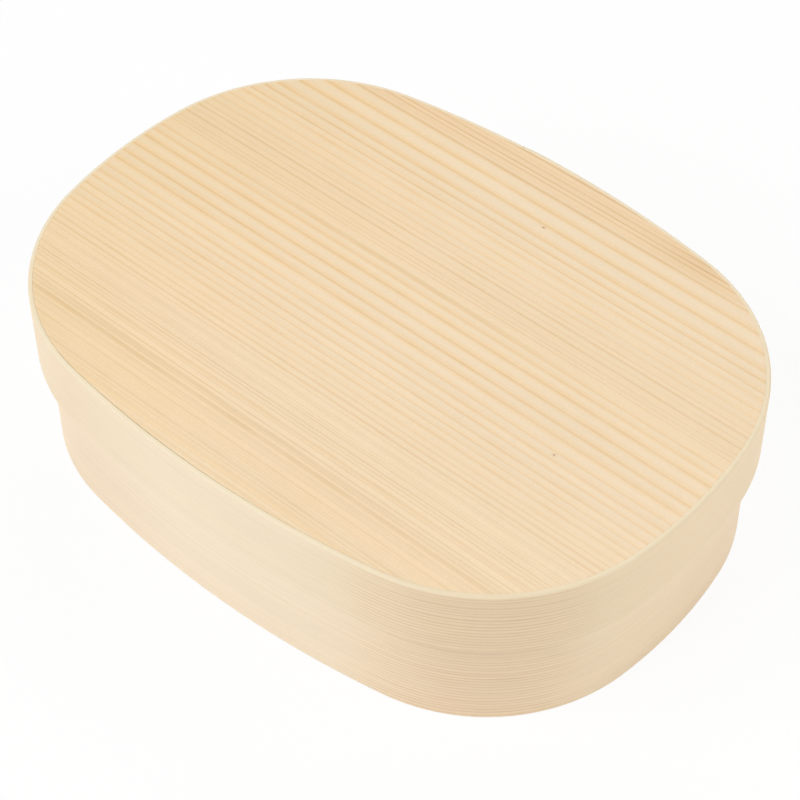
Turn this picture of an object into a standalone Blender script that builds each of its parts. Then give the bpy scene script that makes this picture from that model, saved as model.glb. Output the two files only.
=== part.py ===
"""Bent-wood lunch box with a covering lid.

Two thin strips of straight-grained wood are bent into hoops of one oblong plan. Each
strip's ends are shaved thin, lapped, glued and laced with a tape of cherry bark. The
body's hoop holds the base board, the lid's hoop holds the lid board, and the lid's
hoop slips down over the body's. A loose divider stands across the inside.

Metres, +Z up, X along the box, -Y the front. The origin is the centre of the underside.
"""

import math
from dataclasses import dataclass

import bmesh
import bpy
from mathutils import Matrix, Vector

# Plan of the lid's outer face, an oblong of tangent arcs
LENGTH = 0.180
WIDTH = 0.132
LONG_SIDE_RADIUS = 0.271
SHORT_SIDE_RADIUS = 0.125
CORNER_RADIUS = 0.051

# Heights, with the lid on
HEIGHT = 0.049
LID_BAND_HEIGHT = 0.020

# Boards and bands
LID_BOARD_THICKNESS = 0.004
BASE_BOARD_THICKNESS = 0.005
LID_BAND_THICKNESS = 0.0019
BODY_BAND_THICKNESS = 0.0024
LID_RIM_WIDTH = 0.0011  # wood of the band that stands outside the lid board
BODY_RIM_WIDTH = 0.0012  # wood of the band that stands outside the base board

# Fits
SEAT_GAP = 0.0003  # between pieces that touch on the real box
LID_CLEARANCE = 0.0009  # all round, between the lid's hoop and the body's

# Scarfed laps, both at the middle of the back
LAP_LENGTH = 0.036
LAP_TIP_X = 0.012  # from the middle of the back to the lap's outer tip
LAP_TIP_THICKNESS = 0.0003
LAP_GLUE_LINE = 0.0001

# Bark lacing
TAPE_WIDTH = 0.005
TAPE_THICKNESS = 0.00035
TAPE_CLEARANCE = 0.0001
LACING_FROM_TIP = 0.0065  # from the lap's outer tip to the middle of the tape
LACING_MARGIN = 0.0025  # wood left above and below the end slits
LID_STITCH_COUNT = 2  # those that show on the outside
BODY_STITCH_COUNT = 4
TAIL_SHARE = 0.7  # how much of one stitch a tape's tucked end covers

# Divider
DIVIDER_THICKNESS = 0.0035
DIVIDER_HEIGHT = 0.032
DIVIDER_X = 0.028

# Rounded edges
LID_TOP_ROUND = 0.0007
LID_FOOT_ROUND = 0.0004
BODY_LIP_ROUND = 0.0007
BODY_FOOT_ROUND = 0.0004
INNER_ROUND = 0.0003
BOARD_ROUND = 0.0002
DIVIDER_ROUND = 0.0008

# Fineness of the mesh
FACET_SAG = 0.00005  # how far a flat facet may stray from its arc
LAP_STEPS = 12
ROUND_STEPS = 2
ROUND_SHARE = 0.45  # most of a thin edge that one rounded corner takes
SHARP_ANGLE = math.radians(35)
WELD_DISTANCE = 0.000001
CUT_MARGIN = 0.002  # how far a cutter runs past what it cuts

# Colours, linear, and roughness
LID_BOARD_COLOR = (0.83, 0.64, 0.41)
BAND_COLOR = (0.87, 0.73, 0.54)
BASE_BOARD_COLOR = (0.82, 0.66, 0.45)
DIVIDER_COLOR = (0.84, 0.68, 0.47)
BARK_COLOR = (0.13, 0.045, 0.022)
WOOD_ROUGHNESS = 0.6
BARK_ROUGHNESS = 0.4

# Sizes that follow from those above
BODY_INSET = LID_BAND_THICKNESS + LID_CLEARANCE
INSIDE_INSET = BODY_INSET + BODY_BAND_THICKNESS
LID_SEAT = HEIGHT - LID_BOARD_THICKNESS - SEAT_GAP
BASE_SEAT = BASE_BOARD_THICKNESS + SEAT_GAP
LAP_STEP = LAP_TIP_THICKNESS + LAP_GLUE_LINE

QUARTER_TURN = math.pi / 2
HALF_TURN = math.pi
FULL_TURN = 2 * math.pi


@dataclass(frozen=True)
class Hoop:
    """A strip bent round the plan, lapped and laced at the back.

    inset is that of its plain outer face from the lid's. The tip of the lap's outer end
    stands proud_outside clear of that face, and the tip of the inner end stands
    proud_inside clear of the inner face. Where that is 0 the tip is let in flush.
    rounds are the radii of the outer foot, outer top, inner top and inner foot.
    """

    name: str
    inset: float
    thickness: float
    bottom: float
    top: float
    proud_outside: float
    proud_inside: float
    rounds: tuple
    mirrored: bool  # the outer tip points to -X and not to +X


def plan_arcs():
    """Centre and radius of one quarter's short side arc, corner arc and long side arc."""
    short_centre = Vector((LENGTH / 2 - SHORT_SIDE_RADIUS, 0))
    long_centre = Vector((0, WIDTH / 2 - LONG_SIDE_RADIUS))
    to_short = SHORT_SIDE_RADIUS - CORNER_RADIUS
    to_long = LONG_SIDE_RADIUS - CORNER_RADIUS
    span = short_centre - long_centre
    along = (to_long**2 - to_short**2 + span.length_squared) / (2 * span.length)
    across = math.sqrt(to_long**2 - along**2)
    axis = span.normalized()
    corner_centre = long_centre + along * axis + across * Vector((axis.y, -axis.x))
    return (
        (short_centre, SHORT_SIDE_RADIUS),
        (corner_centre, CORNER_RADIUS),
        (long_centre, LONG_SIDE_RADIUS),
    )


def arc_limits(arcs):
    """Directions that the wall faces where one quarter's arcs begin and end."""
    (short_centre, _), (corner_centre, _), (long_centre, _) = arcs
    from_short = corner_centre - short_centre
    from_long = corner_centre - long_centre
    return (
        0.0,
        math.atan2(from_short.y, from_short.x),
        math.atan2(from_long.y, from_long.x),
        QUARTER_TURN,
    )


ARCS = plan_arcs()
ARC_LIMITS = arc_limits(ARCS)


def wall_point(facing, inset):
    """Plan point where the wall faces a direction, inset from the lid's outer face."""
    normal = Vector((math.cos(facing), math.sin(facing)))
    folded = math.atan2(abs(normal.y), abs(normal.x))
    centre, radius = ARCS[sum(folded > limit for limit in ARC_LIMITS[1:3])]
    mirrored = Vector((math.copysign(centre.x, centre.x * normal.x), 0))
    mirrored.y = math.copysign(centre.y, centre.y * normal.y)
    return mirrored + (radius - inset) * normal


def back_facing(x, inset=0.0):
    """Direction that the long wall at the back faces where it passes x."""
    return math.acos(x / (LONG_SIDE_RADIUS - inset))


def ring_facings():
    """Directions of the plan's corners once round, in equal steps along each arc."""
    quarter = []
    for (_, radius), first, last in zip(ARCS, ARC_LIMITS, ARC_LIMITS[1:]):
        count = math.ceil((last - first) / (2 * math.acos(1 - FACET_SAG / radius)))
        quarter += [first + (last - first) * step / count for step in range(count)]
    half = quarter + [QUARTER_TURN] + [HALF_TURN - facing for facing in quarter[:0:-1]]
    return half + [HALF_TURN + facing for facing in half]


def facings_down(high, low):
    """Directions of the plan's corners from high down to low, with both of those."""
    least = LAP_GLUE_LINE / LONG_SIDE_RADIUS
    ring = ring_facings()
    turned = [facing - FULL_TURN for facing in ring] + ring
    between = [facing for facing in turned if low + least < facing < high - least]
    return [high, *reversed(between), low]


def lap_insets(hoop):
    """Insets of the outer and inner face along the lap's inner end, and its outer end."""
    inner_end = []
    outer_end = []
    for step in range(LAP_STEPS + 1):
        done = step / LAP_STEPS
        left = 1 - done
        inner_face = hoop.thickness + hoop.proud_inside * left
        under = (hoop.thickness + hoop.proud_inside - LAP_TIP_THICKNESS) * left
        under += (LAP_STEP - hoop.proud_outside) * done
        over = (hoop.thickness + hoop.proud_inside - LAP_STEP) * left
        over += (LAP_TIP_THICKNESS - hoop.proud_outside) * done
        inner_end.append((under, inner_face))
        outer_end.append((-hoop.proud_outside * done, over))
    return inner_end, outer_end


def strip_stations(hoop):
    """Stations (facing, outer inset, inner inset) from a strip's inner to its outer tip.

    The strip runs under its own other end towards +X, then once round the plan by the
    right, the front and the left, and over its inner end.
    """
    start = back_facing(LAP_TIP_X - LAP_LENGTH)
    end = back_facing(LAP_TIP_X)
    notch = LAP_GLUE_LINE / LONG_SIDE_RADIUS
    inner_end, outer_end = lap_insets(hoop)
    stations = []
    for step, insets in enumerate(inner_end):
        stations.append((start + (end - start) * step / LAP_STEPS, *insets))
    for facing in facings_down(end - notch, start - FULL_TURN + notch):
        stations.append((facing, 0.0, hoop.thickness))
    for step, insets in enumerate(outer_end):
        facing = start + (end + notch - start) * step / LAP_STEPS
        stations.append((facing - FULL_TURN, *insets))
    return stations


def strip_section(outer, inner, height, rounds):
    """Rounded rectangle of (inset, height) points, from the outer foot by the top."""
    corners = ((outer, 0), (outer, height), (inner, height), (inner, 0))
    to_middle = ((1, 1), (1, -1), (-1, -1), (-1, 1))
    section = []
    for index, ((u, v), (du, dv)) in enumerate(zip(corners, to_middle)):
        radius = min(rounds[index], ROUND_SHARE * (inner - outer))
        for step in range(ROUND_STEPS + 1):
            turn = -QUARTER_TURN * (index + 1 + step / ROUND_STEPS)
            point_u = u + radius * (du + math.cos(turn))
            section.append((point_u, v + radius * (dv + math.sin(turn))))
    return section


def hoop_mesh(hoop):
    """Lofts the strip through its stations, with its foot at height 0."""
    shape = bmesh.new()
    loops = []
    for facing, outer, inner in strip_stations(hoop):
        if hoop.mirrored:
            facing = HALF_TURN - facing
        loop = []
        for inset, height in strip_section(outer, inner, hoop.top - hoop.bottom, hoop.rounds):
            point = wall_point(facing, hoop.inset + inset)
            loop.append(shape.verts.new((point.x, point.y, height)))
        loops.append(loop)
    for near, far in zip(loops, loops[1:]):
        for index, vertex in enumerate(near):
            after = (index + 1) % len(near)
            shape.faces.new((vertex, near[after], far[after], far[index]))
    shape.faces.new(reversed(loops[0]))
    shape.faces.new(loops[-1])
    if shape.calc_volume(signed=True) < 0:
        bmesh.ops.reverse_faces(shape, faces=shape.faces)
    mesh = bpy.data.meshes.new(hoop.name)
    shape.to_mesh(mesh)
    shape.free()
    return mesh


def plate_mesh(name, outline, thickness):
    """Flat plate with the given outline, centred on its own middle plane."""
    curve = bpy.data.curves.new(name, "CURVE")
    curve.dimensions = "2D"
    curve.fill_mode = "BOTH"
    curve.extrude = thickness / 2
    spline = curve.splines.new("POLY")
    spline.points.add(len(outline) - 1)
    for point, (x, y) in zip(spline.points, outline):
        point.co = (x, y, 0, 1)
    spline.use_cyclic_u = True
    holder = bpy.data.objects.new(name, curve)
    bpy.context.scene.collection.objects.link(holder)
    graph = bpy.context.evaluated_depsgraph_get()
    mesh = bpy.data.meshes.new_from_object(holder.evaluated_get(graph))
    bpy.data.objects.remove(holder)
    bpy.data.curves.remove(curve)
    shape = bmesh.new()
    shape.from_mesh(mesh)
    bmesh.ops.remove_doubles(shape, verts=shape.verts, dist=WELD_DISTANCE)
    bmesh.ops.recalc_face_normals(shape, faces=shape.faces)
    shape.to_mesh(mesh)
    shape.free()
    return mesh


def oblong_outline(inset):
    return [wall_point(facing, inset) for facing in ring_facings()]


def slit_heights(bottom, top, stitches):
    """Heights of a lacing's slits, two for each stitch that shows."""
    low = bottom + LACING_MARGIN
    pitch = (top - LACING_MARGIN - low) / (2 * stitches - 1)
    return [low + pitch * index for index in range(2 * stitches)]


def tape_route(heights, inside, outside):
    """Middle line of the tape, as (outward, height) points. Both ends tuck inside."""
    tail = TAIL_SHARE * (heights[1] - heights[0])
    route = [(inside, heights[0] + tail)]
    near, far = inside, outside
    for height in heights:
        route += [(near, height), (far, height)]
        near, far = far, near
    route.append((inside, heights[-1] - tail))
    return [Vector(point) for point in route]


def tape_outline(route):
    """Outline of the square-cornered tape round its middle line."""
    legs = [(after - before).normalized() for before, after in zip(route, route[1:])]
    left = []
    right = []
    for point, before, after in zip(route, [None, *legs], [*legs, None]):
        sides = [Vector((-leg.y, leg.x)) for leg in (before, after) if leg]
        offset = sum(sides, Vector((0, 0))) * TAPE_THICKNESS / 2
        left.append(point + offset)
        right.append(point - offset)
    return left + right[::-1]


def back_wall_frame(x, inset):
    """Placement on the back wall at x: local X outwards, Y up and Z along the wall."""
    facing = back_facing(x, inset)
    point = wall_point(facing, inset)
    outward = Vector((math.cos(facing), math.sin(facing), 0))
    up = Vector((0, 0, 1))
    axes = Matrix((outward, up, outward.cross(up))).transposed()
    return Matrix.Translation((point.x, point.y, 0)) @ axes.to_4x4()


def add_object(name, mesh, collection, parent=None, location=(0, 0, 0)):
    """Links a mesh as an object. Its location is a world one, also under a parent."""
    obj = bpy.data.objects.new(name, mesh)
    collection.objects.link(obj)
    if parent:
        obj.parent = parent
        obj.location = Vector(location) - parent.location
    else:
        obj.location = location
    return obj


def add_frame(name, height, collection):
    """Empty on the box's vertical axis that carries one rigid group."""
    frame = add_object(name, None, collection, location=(0, 0, height))
    frame.empty_display_size = LENGTH / 10
    return frame


def cube_mesh(name, size):
    mesh = bpy.data.meshes.new(name)
    shape = bmesh.new()
    bmesh.ops.create_cube(shape, size=1, matrix=Matrix.Diagonal((*size, 1)))
    shape.to_mesh(mesh)
    shape.free()
    return mesh


def cut(obj, name, mesh, placement, cutters, solver):
    """Subtracts a mesh from an object by a cutter that stays in its own collection."""
    cutter = add_object(name, mesh, cutters)
    cutter.matrix_world = placement
    cutter.hide_render = True
    cutter.display_type = "WIRE"
    boolean = obj.modifiers.new("Cut " + name, "BOOLEAN")
    boolean.operation = "DIFFERENCE"
    boolean.solver = solver
    boolean.object = cutter


def cut_seat(band, name, inset, bottom, top, cutters):
    """Cuts the oblong seat of a board out of a band's edge."""
    mesh = plate_mesh(name, oblong_outline(inset), top - bottom)
    placement = Matrix.Translation((0, 0, (bottom + top) / 2))
    cut(band, name, mesh, placement, cutters, "EXACT")


def lace(hoop, band, name, heights, parts, cutters, parent):
    """Cuts a lap's slits and threads a bark tape through them."""
    x = LAP_TIP_X - LACING_FROM_TIP
    frame = back_wall_frame(-x if hoop.mirrored else x, hoop.inset)
    reach = TAPE_CLEARANCE + TAPE_THICKNESS / 2
    inside = -(hoop.thickness + hoop.proud_inside + reach)
    outside = hoop.proud_outside + reach
    slit_size = (
        outside - inside + CUT_MARGIN,
        TAPE_THICKNESS + 2 * TAPE_CLEARANCE,
        TAPE_WIDTH + 2 * TAPE_CLEARANCE,
    )
    for index, height in enumerate(heights):
        slit_name = f"{band.name}_slit_{index + 1}"
        placement = frame @ Matrix.Translation(((outside + inside) / 2, height, 0))
        # The slits cross the lap's thin glue line, which the exact solver leaves open.
        cut(band, slit_name, cube_mesh(slit_name, slit_size), placement, cutters, "MANIFOLD")
    outline = tape_outline(tape_route(heights, inside, outside))
    lacing = add_object(name, plate_mesh(name, outline, TAPE_WIDTH), parts, parent)
    lacing.matrix_world = frame
    finish(lacing, BARK_COLOR, BARK_ROUGHNESS)


def add_round(obj, width):
    bevel = obj.modifiers.new("Round", "BEVEL")
    bevel.width = width
    bevel.segments = ROUND_STEPS
    bevel.limit_method = "ANGLE"
    bevel.angle_limit = SHARP_ANGLE


def finish(obj, color, roughness):
    """Gives a part its own material, and smooth shading on its round faces."""
    material = bpy.data.materials.new(obj.name)
    material.use_nodes = True
    shader = material.node_tree.nodes["Principled BSDF"]
    shader.inputs["Base Color"].default_value = (*color, 1)
    shader.inputs["Roughness"].default_value = roughness
    shader.inputs["Metallic"].default_value = 0
    obj.data.materials.append(material)
    obj.data.shade_smooth()
    obj.data.set_sharp_from_angle(angle=SHARP_ANGLE)


def build_board(name, inset, bottom, top, color, parts, parent):
    """An oblong board whose edge keeps an inset from the lid's outer face."""
    mesh = plate_mesh(name, oblong_outline(inset), top - bottom)
    board = add_object(name, mesh, parts, parent, (0, 0, (bottom + top) / 2))
    add_round(board, BOARD_ROUND)
    finish(board, color, WOOD_ROUGHNESS)


def build_body(parts, cutters, parent):
    """The base board and the hoop round it, whose lap is flush on the outside."""
    hoop = Hoop(
        name="body_band",
        inset=BODY_INSET,
        thickness=BODY_BAND_THICKNESS,
        bottom=0.0,
        top=LID_SEAT,
        proud_outside=0.0,
        proud_inside=LAP_STEP,
        rounds=(BODY_FOOT_ROUND, BODY_LIP_ROUND, BODY_LIP_ROUND, INNER_ROUND),
        mirrored=False,
    )
    seat_inset = BODY_INSET + BODY_RIM_WIDTH
    board_inset = seat_inset + SEAT_GAP
    board_color = BASE_BOARD_COLOR
    build_board("base_board", board_inset, 0.0, BASE_BOARD_THICKNESS, board_color, parts, parent)
    band = add_object(hoop.name, hoop_mesh(hoop), parts, parent, (0, 0, hoop.bottom))
    cut_seat(band, "base_seat", seat_inset, -CUT_MARGIN, BASE_SEAT, cutters)
    heights = slit_heights(BASE_SEAT, LID_SEAT, BODY_STITCH_COUNT)
    lace(hoop, band, "body_lacing", heights, parts, cutters, parent)
    finish(band, BAND_COLOR, WOOD_ROUGHNESS)


def build_lid(parts, cutters, parent):
    """The lid board and the hoop round it, whose lap is flush on the inside."""
    hoop = Hoop(
        name="lid_band",
        inset=0.0,
        thickness=LID_BAND_THICKNESS,
        bottom=HEIGHT - LID_BAND_HEIGHT,
        top=HEIGHT,
        proud_outside=LAP_STEP,
        proud_inside=0.0,
        rounds=(LID_FOOT_ROUND, LID_TOP_ROUND, INNER_ROUND, INNER_ROUND),
        mirrored=True,
    )
    board_inset = LID_RIM_WIDTH + SEAT_GAP
    underside = HEIGHT - LID_BOARD_THICKNESS
    build_board("lid_board", board_inset, underside, HEIGHT, LID_BOARD_COLOR, parts, parent)
    band = add_object(hoop.name, hoop_mesh(hoop), parts, parent, (0, 0, hoop.bottom))
    cut_seat(band, "lid_seat", LID_RIM_WIDTH, LID_SEAT, HEIGHT + CUT_MARGIN, cutters)
    heights = slit_heights(hoop.bottom, LID_SEAT, LID_STITCH_COUNT)
    lace(hoop, band, "lid_lacing", heights, parts, cutters, parent)
    finish(band, BAND_COLOR, WOOD_ROUGHNESS)


def build_divider(parts, parent):
    """A plank that stands on the base board and just fits between the long walls."""
    far_face = DIVIDER_X + DIVIDER_THICKNESS / 2
    wall_y = wall_point(back_facing(far_face, INSIDE_INSET), INSIDE_INSET).y
    size = (DIVIDER_THICKNESS, 2 * (wall_y - SEAT_GAP), DIVIDER_HEIGHT)
    location = (DIVIDER_X, 0, BASE_SEAT + DIVIDER_HEIGHT / 2)
    divider = add_object("divider", cube_mesh("divider", size), parts, parent, location)
    add_round(divider, DIVIDER_ROUND)
    finish(divider, DIVIDER_COLOR, WOOD_ROUGHNESS)


def main():
    for obj in list(bpy.data.objects):
        bpy.data.objects.remove(obj)
    parts = bpy.data.collections.new("bento_box")
    cutters = bpy.data.collections.new("bento_box_cutters")
    cutters.hide_render = True
    bpy.context.scene.collection.children.link(parts)
    bpy.context.scene.collection.children.link(cutters)
    body_frame = add_frame("body_frame", 0.0, parts)
    lid_frame = add_frame("lid_frame", LID_SEAT, parts)
    bpy.context.view_layer.update()
    build_body(parts, cutters, body_frame)
    build_lid(parts, cutters, lid_frame)
    build_divider(parts, body_frame)


main()
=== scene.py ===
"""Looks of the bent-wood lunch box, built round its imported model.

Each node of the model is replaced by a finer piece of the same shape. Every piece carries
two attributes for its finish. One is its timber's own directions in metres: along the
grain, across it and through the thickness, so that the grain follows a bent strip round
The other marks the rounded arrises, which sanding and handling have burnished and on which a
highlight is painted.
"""

import logging
import math
from collections.abc import Callable, Iterable, Sequence
from dataclasses import dataclass
from enum import Enum
from functools import cached_property
from typing import ClassVar

import bmesh
import bpy
from mathutils import Matrix, Vector, noise


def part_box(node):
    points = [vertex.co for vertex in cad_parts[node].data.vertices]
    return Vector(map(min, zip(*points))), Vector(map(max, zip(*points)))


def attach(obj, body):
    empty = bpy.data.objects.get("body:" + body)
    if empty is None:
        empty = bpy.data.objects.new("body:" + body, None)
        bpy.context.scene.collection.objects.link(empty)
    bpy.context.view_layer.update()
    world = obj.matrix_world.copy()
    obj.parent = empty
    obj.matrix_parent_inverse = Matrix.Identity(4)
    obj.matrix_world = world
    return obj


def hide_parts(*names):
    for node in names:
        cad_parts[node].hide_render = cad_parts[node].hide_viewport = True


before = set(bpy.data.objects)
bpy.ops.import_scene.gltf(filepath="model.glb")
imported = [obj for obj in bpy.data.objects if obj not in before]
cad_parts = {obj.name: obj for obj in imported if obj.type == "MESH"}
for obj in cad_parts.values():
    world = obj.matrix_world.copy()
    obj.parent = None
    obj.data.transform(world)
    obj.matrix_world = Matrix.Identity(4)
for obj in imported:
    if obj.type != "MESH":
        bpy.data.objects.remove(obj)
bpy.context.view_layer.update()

LOG = logging.getLogger("lunch_box")

QUARTER_TURN = math.pi / 2
HALF_TURN = math.pi
FULL_TURN = 2 * math.pi
MM = 0.001

# Names of the attributes that the finishes read
GRAIN = "grain"
ARRIS = "arris"

# Fineness of the meshes
FACET_SAG = 0.000006  # how far a flat facet may stray from its arc
LAP_STEPS = 36
ROUND_STEPS = 5
ROUND_SHARE = 0.45  # most of a thin edge that one rounded corner takes
GUARD = 0.0006  # from a rounded corner to the row of points that keeps a flat face flat
EVEN_ROWS = 6
SHARP_ANGLE = math.radians(35)
CUT_MARGIN = 0.002  # how far a cutter runs past what it cuts
TOUCH = 0.00001  # between faces that rest on each other

# Edges of the bands and the boards
RIM_ARRIS = 0.00002  # inner edge of the rims that stand round the boards
FOOT_RUB_AND_HIGHLIGHT = 0.45  # how much handling has worn a hoop's foot, and how much highlight is painted there, where its rim is 1
SEAM_FALL = math.radians(6)  # aside of its widest place, a seam has closed to half
SEAM_MEAN = 0.85  # a seam wavers about this share of its width
SEAM_WAVER = 0.3  # by up to so much of it
SEAM_WAVES = 4  # and so often while the wall turns by a radian

# Growth rings: how far the wood warms before a line and after it, and the ring pitches
# between which that warmth grows
BLUSH_BEFORE = 0.0020
BLUSH_AFTER = 0.0012
NARROW_RING = 0.0010
BROAD_RING = 0.0040

# Growth rings: how their widths and lines vary
UNEVEN_RATE = 0.6  # how quickly the widths change, per ring
LINE_STRETCH = 0.014  # length of the stretches over which a line grows and fades
LINE_DETAIL = 3.0
CHANGE_BASE = 0.35  # with a noise about 0.5, base and gain make a change about 1
CHANGE_GAIN = 1.3
FINEST_LINE = 0.4  # a line's thickness lies from this to 1, plus a noise about 0.5
NARROW_LINE = 0.75  # thickness of lines between narrow rings, where broad ones have 1
NARROW_WARMTH = 0.3  # warmth beside such lines, likewise
WARM_RING = 0.6  # warmth of a narrow ring that is warm all through
WARM_FROM = 0.4  # share of the narrow rings that stay pale

# What tells a ring's random numbers from one another
SIZE_CHANCE = 0.61
WARM_CHANCE = 0.71
TONE_CHANCE = 0.37

# Rubbed arrises and their painted highlight: with a noise about 0.5, base and gain make the wear
# and the highlight uneven
WORN_HIGHLIGHT_BASE = 0.5
WORN_HIGHLIGHT_GAIN = 0.7
FULL_RUB_AND_HIGHLIGHT = 0.9  # value of the arris attribute from which wood is burnished fully and a highlight is fully painted

# Distances, in sizes of the spot, between which its core and the stain round it come up
CORE_FADE = (1.1, 0.5)
STAIN_FADE = (5.0, 0.8)

# Sockets of the Mix node for colours, whose names it uses more than once
MIX_FACTOR = 0
MIX_FIRST = 6
MIX_SECOND = 7
MIX_RESULT = 2

# Camera of the photograph
PHOTO_SIZE = 800
SENSOR_WIDTH = 0.036

# A linear colour with its alpha, and colours by their distance along or across the wood
Color = tuple[float, float, float, float]
Tints = tuple[tuple[float, Color], ...]

# Insets of an outer and an inner face
Sides = tuple[float, float]

Socket = bpy.types.NodeSocket
Operand = float | Sequence[float] | Socket


class LapTip(Enum):
    """Which way the outer end of a strip's lap points, along X."""

    RIGHT = 1
    LEFT = -1


class Rim(Enum):
    """Which rim of its hoop a board is let into."""

    TOP = "top"
    FOOT = "foot"


class Solver(Enum):
    """Boolean solvers: one for large seats, one for slits through a thin glue line."""

    SEAT = "EXACT"
    SLIT = "MANIFOLD"


class Blend(Enum):
    """Ways to lay one colour over another."""

    MIX = "MIX"
    MULTIPLY = "MULTIPLY"


def linear(red: float, green: float, blue: float) -> Color:
    """Turns a display colour into the linear one that shaders take.

    Args:
        red: red, 0 to 255.
        green: green, 0 to 255.
        blue: blue, 0 to 255.

    Returns:
        The linear colour with an alpha of 1.
    """
    channels = []
    for value in (red / 255, green / 255, blue / 255):
        low = value / 12.92
        high = ((value + 0.055) / 1.055) ** 2.4
        channels.append(low if value <= 0.04045 else high)
    return (*channels, 1.0)


# Colours that more than one finish uses
WHITE = (1.0, 1.0, 1.0, 1.0)
# Pale colour of burnished arrises, which also paints a highlight along the rims and the lid's foot
BURNISHED_AND_HIGHLIGHT = linear(243, 228, 197)
STAIN = linear(232, 196, 150)
KNOT = linear(128, 92, 58)


@dataclass(frozen=True)
class Arc:
    """One arc of the plan's first quarter.

    first and last are the directions that the wall faces at its ends, and run is the
    wall's length from the middle of the short side to the first of them.
    """

    centre: Vector
    radius: float
    first: float
    last: float
    run: float


@dataclass(frozen=True)
class Plan:
    """Oblong of tangent arcs that the lid's outer face follows, seen from above."""

    length: float
    width: float
    long_side_radius: float = 0.271
    short_side_radius: float = 0.125
    corner_radius: float = 0.051

    @cached_property
    def arcs(self) -> tuple[Arc, Arc, Arc]:
        """The first quarter's short side, corner and long side."""
        short_centre = Vector((self.length / 2 - self.short_side_radius, 0))
        long_centre = Vector((0, self.width / 2 - self.long_side_radius))
        to_short = self.short_side_radius - self.corner_radius
        to_long = self.long_side_radius - self.corner_radius
        span = short_centre - long_centre
        along = (to_long**2 - to_short**2 + span.length_squared) / (2 * span.length)
        across = math.sqrt(to_long**2 - along**2)
        axis = span.normalized()
        corner_centre = long_centre + along * axis + across * Vector((axis.y, -axis.x))
        from_short = corner_centre - short_centre
        from_long = corner_centre - long_centre
        limits = (
            0.0,
            math.atan2(from_short.y, from_short.x),
            math.atan2(from_long.y, from_long.x),
            QUARTER_TURN,
        )
        centres = (short_centre, corner_centre, long_centre)
        radii = (self.short_side_radius, self.corner_radius, self.long_side_radius)
        arcs = []
        run = 0.0
        for centre, radius, first, last in zip(centres, radii, limits, limits[1:]):
            arcs.append(Arc(centre, radius, first, last, run))
            run += radius * (last - first)
        return tuple(arcs)

    @cached_property
    def quarter_run(self) -> float:
        """Length of a quarter of the wall."""
        long_side = self.arcs[2]
        return long_side.run + long_side.radius * (long_side.last - long_side.first)

    def arc_facing(self, facing: float) -> Arc:
        """The arc of the first quarter that faces a direction of that quarter."""
        return self.arcs[sum(facing > arc.first for arc in self.arcs[1:])]

    def point(self, facing: float, inset: float) -> Vector:
        """Finds where the wall faces a direction.

        Args:
            facing: direction of the wall's normal, from +X towards +Y.
            inset: distance in from the lid's outer face.

        Returns:
            The plan point.
        """
        normal = Vector((math.cos(facing), math.sin(facing)))
        arc = self.arc_facing(math.atan2(abs(normal.y), abs(normal.x)))
        centre_x = math.copysign(arc.centre.x, arc.centre.x * normal.x)
        centre_y = math.copysign(arc.centre.y, arc.centre.y * normal.y)
        return Vector((centre_x, centre_y)) + (arc.radius - inset) * normal

    def locate(self, x: float, y: float) -> tuple[float, float]:
        """Finds which way the wall faces beside a point, and how far in the point is.

        Args:
            x: place along the box.
            y: place across the box.

        Returns:
            The facing, from a quarter turn below +X to three above it, and the inset.
        """
        point = Vector((abs(x), abs(y)))
        for arc in self.arcs:
            reach = point - arc.centre
            facing = math.atan2(reach.y, reach.x)
            if facing <= arc.last:
                break
        inset = arc.radius - reach.length
        if x < 0:
            facing = HALF_TURN - facing
        if y < 0:
            facing = -facing if x >= 0 else FULL_TURN - facing
        return facing, inset

    def run_to(self, facing: float) -> float:
        """Measures along the wall.

        Args:
            facing: direction that the wall faces, as locate gives it.

        Returns:
            The wall's length from the middle of the front, by the right, to there.
        """
        quarters = math.floor(facing / QUARTER_TURN)
        within = facing - quarters * QUARTER_TURN
        if quarters % 2:
            within = QUARTER_TURN - within
        arc = self.arc_facing(within)
        part = arc.run + arc.radius * (within - arc.first)
        if quarters % 2:
            part = self.quarter_run - part
        return (quarters + 1) * self.quarter_run + part

    def back_facing(self, x: float, inset: float = 0.0) -> float:
        """Direction that the long wall at the back faces where it passes x."""
        return math.acos(x / (self.long_side_radius - inset))

    @cached_property
    def facings(self) -> list[float]:
        """Directions of the plan's corners once round, in equal steps along each arc."""
        quarter = []
        for arc in self.arcs:
            step = 2 * math.acos(1 - FACET_SAG / arc.radius)
            count = math.ceil((arc.last - arc.first) / step)
            for index in range(count):
                quarter.append(arc.first + (arc.last - arc.first) * index / count)
        half = quarter + [QUARTER_TURN] + [HALF_TURN - facing for facing in quarter[:0:-1]]
        return half + [HALF_TURN + facing for facing in half]

    def facings_down(self, high: float, low: float, least: float) -> list[float]:
        """Lists the corners that a strip passes.

        Args:
            high: direction that the list starts with.
            low: direction that it ends with.
            least: least step from either of those.

        Returns:
            The directions from high down to low.
        """
        turned = [facing - FULL_TURN for facing in self.facings] + self.facings
        between = [facing for facing in turned if low + least < facing < high - least]
        return [high, *reversed(between), low]


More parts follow.
